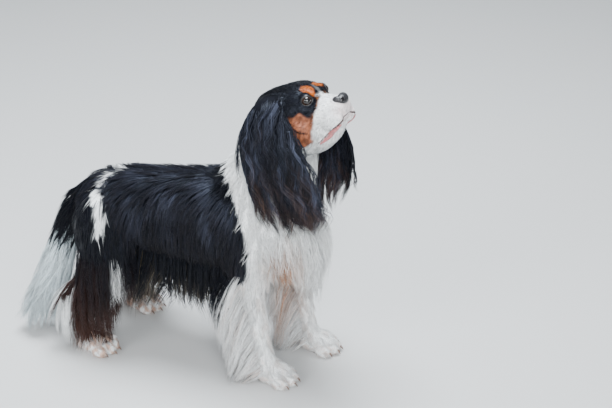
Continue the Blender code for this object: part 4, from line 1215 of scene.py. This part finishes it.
front_x = tri_own[:, 0] - along(SADDLE_EDGE, tri_own[:, 2])
before_saddle = (front_x > -0.004) & (tri_own[:, 2] > 0.165)
ruff_density = is_part("neck") + is_part("trunk", "foreleg_right", "foreleg_left") * before_saddle
ruff = Roots(RUFF_COUNT, ruff_density, 51)
x, _, z = ruff.own.T
chest = np.clip((x - 0.135) / 0.03, 0, 1)
ruff_length = 0.026 + 0.056 * chest + 0.010 * ripple(ruff.at, 0.03, 52) * chest
ruff.comb(ruff_length * along(RUFF_LONGER, z))
creamy = np.clip(ripple(ruff.at, 0.02, 53), 0, 1) * 0.25 * (ruff.colour[:, 0] > 0.3)
ruff_tips = laid_over(ruff.colour, CREAM, creamy)
ruff_coat = grow("ruff_coat", ruff, np.full(ruff.count, RUFF_HAIR_WIDTH), RUFF_STYLE, ruff_tips)
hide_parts("neck")


# The saddle: straight glossy black hair over back, flanks and rump, on each side of the
# body, with painted sheen laid over it higher up. Along the belly it runs into a long fringe with paler
# tips.
SADDLE_STYLE = dict(SILKY, depth=0.0055, stray=0.0008)
SADDLE_COUNT = {"right": 6800, "left": 5000}
SADDLE_HAIR_WIDTH = 0.0010
# height, length; then distance from the rump band, share of the length
SADDLE_LENGTH = ((0.17, 0.072), (0.21, 0.056), (0.29, 0.042), (0.31, 0.032))
BAND_SHORTER = ((0.012, 0.40), (0.038, 1.0))
FRINGE_STYLE = dict(FEATHER, rings=5, lift=0.06, sag=0.60, wave=0.0022)
FRINGE_COUNT = 4200
FRINGE_HAIR_WIDTH = 0.0011
FRINGE_LENGTH = 0.112
# share of the length from rump to elbow, and from the middle line outward
FRINGE_ALONG = ((-0.12, 1.0), (-0.07, 1.20), (0.0, 1.18), (0.06, 1.02), (0.10, 0.55))
FRINGE_ACROSS = ((0.0, 0.5), (0.04, 0.8), (0.06, 1.0))

saddle_zone = is_part("trunk") * (front_x <= 0.002)
for word, side in SIDES:
    saddle_side = saddle_zone * (tri_own[:, 1] * side >= 0) * (tri_ways[:, 2] > -0.75)
    saddle = Roots(SADDLE_COUNT[word], saddle_side, 60 + side)
    z = saddle.own[:, 2]
    folded = saddle.own * np.array((1.0, side, 1.0))
    saddle.comb(along(SADDLE_LENGTH, z) * along(BAND_SHORTER, off_path(folded, RUMP_BAND)))
    dark = saddle.colour[:, 0] < 0.1
    # painted sheen: bluish-grey patches laid over the black hair, more of them higher up the back, as
    # painted highlights
    sheen_patch = np.clip(ripple(saddle.at * np.array((1.0, 1.0, 0.35)), 0.022, 64), 0, 1.5)
    painted_sheen = 0.7 * saddle.chance.uniform(0, 1, saddle.count) ** 3 + 0.55 * sheen_patch
    painted_sheen = dark * np.interp(z, (0.20, 0.28), (0.12, 1.0)) * painted_sheen
    saddle.colour = laid_over(saddle.colour, PAINTED_SHEEN, painted_sheen)
    tips = saddle.colour + np.array((0.008, 0.005, 0.004)) * dark[:, None]
    width = np.full(saddle.count, SADDLE_HAIR_WIDTH)
    saddle_coat = grow("saddle_" + word + "_coat", saddle, width, SADDLE_STYLE, tips)
    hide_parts("torso")

low = np.clip((0.205 - tri_own[:, 2]) / 0.02, 0, 1)
belly_zone = is_part("trunk") * low * (tri_own[:, 0] < 0.104) * (tri_own[:, 0] > -0.12)
belly_zone = belly_zone * np.interp(np.abs(tri_own[:, 1]), (0.0, 0.06), (0.5, 1.4))
fringe = Roots(FRINGE_COUNT, belly_zone, 71)
x, y, _ = fringe.own.T
fringe_length = FRINGE_LENGTH * along(FRINGE_ALONG, x) * along(FRINGE_ACROSS, np.abs(y))
fringe.comb(fringe_length, np.stack([-0.14 + 0 * x, 0.06 * np.sign(y), -1 + 0 * x], axis=1))
under = np.clip((0.045 - np.abs(y)) / 0.02, 0, 1)
fringe.colour = laid_over(fringe.colour, CREAM, under * 0.8)
pale = np.clip(fringe.chance.uniform(-1.2, 0.8, fringe.count), 0, 1)
fringe_tips = laid_over(fringe.colour, CREAM * 0.7, pale)
width = np.full(fringe.count, FRINGE_HAIR_WIDTH)
fringe_coat = grow("belly_fringe", fringe, width, FRINGE_STYLE, fringe_tips)
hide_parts("torso")


# The legs: short smooth hair down the front and sides and over the toes, and long
# feathers behind, from the elbow to the wrist and down the back of the thigh to the hock.
LEG_STYLE = dict(SILKY, rings=3, depth=0.0030, hold=0.0010, hug=0.6, shade=0.08, lock_shade=0.06)
LEG_FEATHER = dict(FEATHER, rings=5, lift=0.30, sag=0.5, hold=0.0020, shade=0.07, lock_shade=0.06)
FEATHER_WIDTH = 0.0010
RED_BROWN = np.array((0.14, 0.060, 0.038))
# height, length of the short hair and of the feathers; length, width of the short hair
SHORT_LENGTH = {
    "fore": ((0.012, 0.008), (0.03, 0.016), (0.06, 0.022), (0.12, 0.027), (0.17, 0.032)),
    "hind": ((0.012, 0.008), (0.03, 0.015), (0.07, 0.026), (0.12, 0.040), (0.18, 0.038)),
}
FEATHER_LENGTH = {
    "fore": ((0.024, 0.050), (0.06, 0.090), (0.10, 0.112), (0.18, 0.104)),
    "hind": ((0.026, 0.026), (0.06, 0.054), (0.09, 0.080), (0.14, 0.098), (0.185, 0.095)),
}
SHORT_WIDTH = ((0.006, 0.0006), (0.03, 0.0010))
# how much shorter the feathers are in front of the thigh: x from the paw's middle, share
THIGH_FRONT = ((0.030, 1.0), (0.048, 0.62))
# tufts of short hair, feathers, and the seed of their places
LEG_TUFTS = {
    "foreleg_right": (3000, 2300, 81),
    "foreleg_left": (2500, 1700, 84),
    "hindleg_right": (2400, 3000, 87),
    "hindleg_left": (2200, 2100, 90),
}


def leg_coat(name, short_count, long_count, seed):
    kind = name[:4]
    hind = kind == "hind"
    mass = is_part(name)
    height = tri_own[:, 2]
    rear = np.clip((0.1 - tri_ways[:, 0]) / 0.5, 0, 1)
    if hind:
        short_zone = mass * (1 - 0.75 * (height > 0.045) * (height < 0.165))
        long_zone = mass * (height > 0.028) * (height < 0.185)
    else:
        short_zone = mass * (height < 0.172)
        long_zone = mass * rear * (height > 0.024) * (height < 0.185)
    short = Roots(short_count, short_zone * np.interp(height, (0.03, 0.05), (1.8, 1.0)), seed)
    z = short.own[:, 2]
    length = along(SHORT_LENGTH[kind], z)
    short.comb(length)
    tips = short.colour
    if hind:
        dark = (short.colour[:, 0] < 0.12) * np.clip((0.15 - z) / 0.08, 0, 1)
        tips = laid_over(tips, RED_BROWN, dark * 0.8)
    piece = grow(name + "_coat", short, along(SHORT_WIDTH, length), LEG_STYLE, tips)
    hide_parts(name)
    feather = Roots(long_count, long_zone, seed + 1)
    x, _, z = feather.own.T
    length = along(FEATHER_LENGTH[kind], z)
    out = unit(feather.way * np.array((1.0, 1.0, 0.0)))
    if hind:
        length = length * along(THIGH_FRONT, x - PAWS[name].x)
        lie = DOWN + out * 0.14 + np.array((0.06, 0.0, 0.0))
    else:
        back = 0.38 + 0.65 * np.clip((0.10 - z) / 0.06, 0, 1)
        lie = DOWN + out * 0.46 - np.array((1.0, 0.0, 0.0)) * back[:, None]
    feather.comb(length, lie)
    tips = feather.colour
    if hind:
        dark = (feather.colour[:, 0] < 0.12) * feather.chance.uniform(0.2, 1.0, feather.count)
        tips = laid_over(tips, RED_BROWN, dark * np.clip((0.17 - z) / 0.08, 0, 1))
    width = np.full(feather.count, FEATHER_WIDTH)
    piece = grow(name + "_feather", feather, width, LEG_FEATHER, tips)
    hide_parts(name)


for name, (short_count, long_count, seed) in LEG_TUFTS.items():
    leg_coat(name, short_count, long_count, seed)


# The tail hangs as a plume: black at its root, then long white wavy hair, its white
# painted greyer and bluer as shade, that falls down and back from the whole length of the tail.
TAIL_STYLE = dict(
    FEATHER, rings=6, per_lock=20, lift=0.30, sag=0.16, hold=0.0015, wave=0.0045, wave_length=0.060,
    shade=0.07, lock_shade=0.05,
)
TAIL_COUNT = 3400
TAIL_HAIR_WIDTH = 0.0012
TAIL_SWEEP = np.array((-0.46, -0.16, 0.0))
TAIL_LENGTH = ((0.055, 0.072), (0.10, 0.104), (0.16, 0.110), (0.20, 0.080), (0.25, 0.040))

plume = Roots(TAIL_COUNT, is_part("tail"), 95)
z = plume.own[:, 2]
plume_lie = DOWN + plume.way * 0.34 * np.clip((0.24 - z) / 0.1, 0, 1)[:, None] + TAIL_SWEEP
plume.comb(along(TAIL_LENGTH, z), plume_lie)
plume_tips = laid_over(plume.colour, CREAM, (plume.colour[:, 0] > 0.3) * 0.12)
width = np.full(plume.count, TAIL_HAIR_WIDTH)
tail_coat = grow("tail_plume", plume, width, TAIL_STYLE, plume_tips)
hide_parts("tail")


# The eyes: wet dark brown balls with a clear bulge in front, a wide pupil and dark lids
# that lie on the ball round the opening.
CORNEA_RADIUS = 0.0066
CORNEA_AHEAD = 0.0050
PUPIL_RADIUS = 0.0044
IRIS_RADIUS = 0.0064
LID_GIRTH = 0.0014
LID_GAP = 0.0004
RINGS_REACH = 0.010


def eye_material(name, side):
    finish, nodes, links, shader = new_finish(name)
    shader.inputs["Roughness"].default_value = 0.03
    shader.inputs["Coat Weight"].default_value = 0.5
    place = nodes.new("ShaderNodeTexCoord")
    turn = nodes.new("ShaderNodeMapping")
    turn.vector_type = "TEXTURE"
    turn.inputs["Location"].default_value = eye_frame(side).translation
    turn.inputs["Rotation"].default_value = eye_frame(side).to_euler()
    links.new(place.outputs["Object"], turn.inputs["Vector"])
    split = nodes.new("ShaderNodeSeparateXYZ")
    links.new(turn.outputs["Vector"], split.inputs["Vector"])
    flat = nodes.new("ShaderNodeCombineXYZ")
    links.new(split.outputs["Y"], flat.inputs["X"])
    links.new(split.outputs["Z"], flat.inputs["Y"])
    reach = nodes.new("ShaderNodeVectorMath")
    reach.operation = "LENGTH"
    links.new(flat.outputs["Vector"], reach.inputs[0])
    share = nodes.new("ShaderNodeMath")
    share.operation = "DIVIDE"
    share.inputs[1].default_value = RINGS_REACH
    links.new(reach.outputs["Value"], share.inputs[0])
    bands = nodes.new("ShaderNodeValToRGB")
    stops = bands.color_ramp.elements
    stops[0].position, stops[0].color = 0.0, (0.002, 0.002, 0.002, 1)
    stops[1].position, stops[1].color = PUPIL_RADIUS / RINGS_REACH, (0.003, 0.002, 0.002, 1)
    for where, shade in (
        (PUPIL_RADIUS / RINGS_REACH + 0.03, (0.026, 0.011, 0.006, 1)),
        (0.56, (0.034, 0.015, 0.008, 1)),
        (IRIS_RADIUS / RINGS_REACH, (0.012, 0.006, 0.004, 1)),
        (0.74, (0.010, 0.007, 0.006, 1)),
    ):
        stop = stops.new(where)
        stop.color = shade
    links.new(share.outputs["Value"], bands.inputs["Fac"])
    links.new(bands.outputs["Color"], shader.inputs["Base Color"])
    return finish


def plain_material(name, colour, roughness, coat, bump_scale, bump):
    """A moist skin or horn with a fine pebbled surface."""
    finish, nodes, links, shader = new_finish(name)
    shader.inputs["Coat Weight"].default_value = coat
    shader.inputs["Coat Roughness"].default_value = 0.25
    place = nodes.new("ShaderNodeTexCoord")
    cells = nodes.new("ShaderNodeTexVoronoi")
    cells.inputs["Scale"].default_value = bump_scale
    links.new(place.outputs["Object"], cells.inputs["Vector"])
    mottle = nodes.new("ShaderNodeTexNoise")
    mottle.inputs["Scale"].default_value = 260.0
    links.new(place.outputs["Object"], mottle.inputs["Vector"])
    tint = nodes.new("ShaderNodeValToRGB")
    tint.color_ramp.elements[0].position = 0.35
    tint.color_ramp.elements[0].color = (*[c * 0.7 for c in colour], 1)
    tint.color_ramp.elements[1].position = 0.65
    tint.color_ramp.elements[1].color = (*[min(1.0, c * 1.3) for c in colour], 1)
    links.new(mottle.outputs["Fac"], tint.inputs["Fac"])
    links.new(tint.outputs["Color"], shader.inputs["Base Color"])
    gloss = nodes.new("ShaderNodeMapRange")
    gloss.inputs["To Min"].default_value = roughness * 0.8
    gloss.inputs["To Max"].default_value = roughness * 1.3
    links.new(mottle.outputs["Fac"], gloss.inputs["Value"])
    links.new(gloss.outputs["Result"], shader.inputs["Roughness"])
    lump = nodes.new("ShaderNodeBump")
    lump.inputs["Strength"].default_value = 0.6
    lump.inputs["Distance"].default_value = bump
    links.new(cells.outputs["Distance"], lump.inputs["Height"])
    links.new(lump.outputs["Normal"], shader.inputs["Normal"])
    return finish


def add_cord(bm, points, girths, out_ways, flat, closed):
    """A round cord through points; flat squeezes it along its out way."""
    count = len(points)
    loops = []
    for i, point in enumerate(points):
        before = points[(i - 1) % count] if closed else points[max(i - 1, 0)]
        after = points[(i + 1) % count] if closed else points[min(i + 1, count - 1)]
        along_cord = (after - before).normalized()
        out = out_ways[i] - along_cord * along_cord.dot(out_ways[i])
        out.normalize()
        turn = Matrix((along_cord.cross(out), out, along_cord)).transposed().to_4x4()
        size = Matrix.Diagonal((girths[i], girths[i] * flat, 1.0, 1.0))
        ring = Matrix.Translation(point) @ turn @ size
        circle = set(bmesh.ops.create_circle(bm, segments=8, radius=1.0, matrix=ring)["verts"])
        loops.append(list({e for v in circle for e in v.link_edges if e.other_vert(v) in circle}))
    pairs = list(zip(loops, loops[1:]))
    if closed:
        pairs.append((loops[-1], loops[0]))
    for first, second in pairs:
        bmesh.ops.bridge_loops(bm, edges=first + second)
    if not closed:
        for end in (loops[0], loops[-1]):
            bmesh.ops.contextual_create(bm, geom=end)


LID_SKIN = plain_material("lid_skin", (0.006, 0.005, 0.005), 0.35, 0.2, 1500.0, 0.0001)


for word, side in SIDES:
    bm = bmesh.new()
    bmesh.ops.create_uvsphere(bm, u_segments=40, v_segments=28, radius=EYE_RADIUS)
    for vert in bm.verts:
        off_axis = math.hypot(vert.co.x, vert.co.y)
        if vert.co.z > 0 and off_axis < CORNEA_RADIUS:
            rise = CORNEA_AHEAD + math.sqrt(CORNEA_RADIUS ** 2 - off_axis ** 2)
            vert.co.z = max(vert.co.z, rise)
    facing = eye_frame(side) @ Matrix.Rotation(math.radians(90), 4, "Y")
    bmesh.ops.transform(bm, matrix=facing, verts=bm.verts)
    ball = piece_from("eyeball_" + word, bm)
    smooth_shade(ball)
    ball.data.materials.append(eye_material("eye_" + word + "_wet", side))
    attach(ball, "root")
    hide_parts("eye_" + word)
    bm = bmesh.new()
    points, girths, outs = [], [], []
    for step in range(28):
        angle = math.tau * step / 28
        wide, tall = LID_OPENING[0] * math.cos(angle), LID_OPENING[1] * math.sin(angle)
        deep = math.sqrt((EYE_RADIUS + LID_GAP) ** 2 - wide ** 2 - tall ** 2)
        points.append(eye_frame(side) @ Vector((deep, wide, tall)))
        girths.append(LID_GIRTH * (1.25 if tall > 0 else 0.9))
        outs.append(eye_frame(side).to_3x3() @ Vector((deep, wide, tall)).normalized())
    add_cord(bm, points, girths, outs, 0.75, True)
    lid = piece_from("lid_" + word, bm)
    smooth_shade(lid)
    lid.data.materials.append(LID_SKIN)
    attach(lid, "root")


# The nose: moist black leather with a pebbled surface, two wings and two nostrils,
# set into the front of the muzzle.
NOSE_AT = Vector((0.0372, 0.0, -0.0122))
NOSE_HALF = Vector((0.0078, 0.0112, 0.0080))
NOSE_WING_AT = Vector((0.0338, 0.0078, -0.0108))
NOSE_WING_HALF = Vector((0.0074, 0.0050, 0.0058))
NOSTRIL_AT = Vector((0.0418, 0.0066, -0.0108))
NOSTRIL_HALF = Vector((0.0044, 0.0022, 0.0030))
NOSTRIL_SLANT = math.radians(28)
NOSE_VOXEL = 0.0005

bm = bmesh.new()
add_ball(bm, NOSE_AT, NOSE_HALF, HEAD)
for side in (-1, 1):
    add_ball(bm, mirrored(NOSE_WING_AT, side), NOSE_WING_HALF, HEAD)
nose_form = piece_from("nose_form", bm)
nose = fuse("nose_pad", [nose_form], NOSE_VOXEL, 3)
remove([nose_form])
for side in (-1, 1):
    bm = bmesh.new()
    turn = Matrix.Rotation(NOSTRIL_SLANT * side, 4, "X")
    add_ball(bm, mirrored(NOSTRIL_AT, side), NOSTRIL_HALF, HEAD, 0.0, turn, 16)
    subtract(nose, piece_from("nostril", bm))
smooth_shade(nose)
NOSE_LEATHER = plain_material("nose_leather", (0.016, 0.015, 0.017), 0.38, 0.25, 1300.0, 0.0003)
nose.data.materials.append(NOSE_LEATHER)
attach(nose, "root")
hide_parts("nose")


# The lips: dark brown skin along the line of the mouth, with pink skin just below it
# towards the corners.
LIP_SKIN = plain_material("lip_skin", (0.050, 0.018, 0.016), 0.4, 0.2, 1500.0, 0.0001)
PINK_SKIN = plain_material("pink_lip", (0.50, 0.17, 0.17), 0.35, 0.3, 1500.0, 0.0001)
LIP_GIRTH = 0.0016
PINK_GIRTH = 0.0038
PINK_BELOW = 0.0030
MOUTH_STEPS = 40
# the lips are looked for from this far outside the mouth's line, and up to this deep
LOOK_FROM = 0.012
LOOK_DEPTH = 0.03
MOUTH_HEART = Vector((0.010, 0.0, 0.0))
MOUTH_LINE = (
    (-0.007, 0.0260, -0.0640),
    (0.003, 0.0230, -0.0585),
    (0.0137, 0.0210, -0.0525),
    (0.0250, 0.0215, -0.0460),
    (0.0345, 0.0190, -0.0400),
    (0.0400, 0.0110, -0.0350),
    (0.0420, 0.0030, -0.0322),
)


def mouth_path(count):
    """The line between the lips in the head's frame, from the right corner round to the left."""
    right = [mirrored(p, -1) for p in MOUTH_LINE]
    line = right + [Vector(p) for p in reversed(MOUTH_LINE)]
    return [smooth_value(line, i * (len(line) - 1) / count) for i in range(count + 1)]


line = []
for spot in mouth_path(MOUTH_STEPS):
    inward = Vector((MOUTH_HEART.x - spot.x, -spot.y, 0.0)).normalized()
    origin = HEAD @ (spot - inward * LOOK_FROM)
    hit, way, _, _ = skin_tree.ray_cast(origin, HEAD.to_3x3() @ inward, LOOK_DEPTH)
    if hit is not None:
        line.append((hit, way))

bm = bmesh.new()
count = len(line)
ends = [min(i, count - 1 - i) / count for i in range(count)]
girths = [LIP_GIRTH * min(1.0, 0.35 + 4 * end) * min(1.0, 0.12 + 5.0 * (0.5 - end)) for end in ends]
add_cord(bm, [hit for hit, _ in line], girths, [way for _, way in line], 0.6, False)
lips = piece_from("lips", bm)
smooth_shade(lips)
lips.data.materials.append(LIP_SKIN)
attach(lips, "root")
bm = bmesh.new()
for run in (line[1:14], line[-14:-1]):
    low = HEAD.to_3x3() @ Vector((0.0, 0.0, -PINK_BELOW))
    girths = [PINK_GIRTH * math.sin(math.pi * (i + 0.6) / len(run)) + 0.0003 for i in range(len(run))]
    add_cord(bm, [hit + low for hit, _ in run], girths, [way for _, way in run], 0.38, False)
pink = piece_from("lip_corners", bm)
smooth_shade(pink)
pink.data.materials.append(PINK_SKIN)
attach(pink, "root")


# The claws: short curved horn at the tip of each toe, mostly hidden by the hair.
CLAW_LENGTH = 0.0065
CLAW_GIRTH = 0.0019
CLAW_AHEAD = 0.0095
CLAW_DROP = 0.0062
bm = bmesh.new()
for paw in PAWS.values():
    for spread, reach in zip(TOE_SPREAD, TOE_REACH):
        root = STANCE @ (paw + Vector((reach + CLAW_AHEAD, spread, TOE_HEIGHT)))
        steps = [i / 4 for i in range(5)]
        points = [root + Vector((CLAW_LENGTH * s, 0.0, -CLAW_DROP * s * s)) for s in steps]
        girths = [CLAW_GIRTH * (1 - 0.85 * s * s) for s in steps]
        add_cord(bm, points, girths, [Vector((0.0, 0.0, 1.0))] * 5, 1.1, False)
claws = piece_from("claws", bm)
smooth_shade(claws)
claws.data.materials.append(plain_material("claw_horn", (0.20, 0.13, 0.10), 0.4, 0.2, 600.0, 0.0001))
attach(claws, "root")
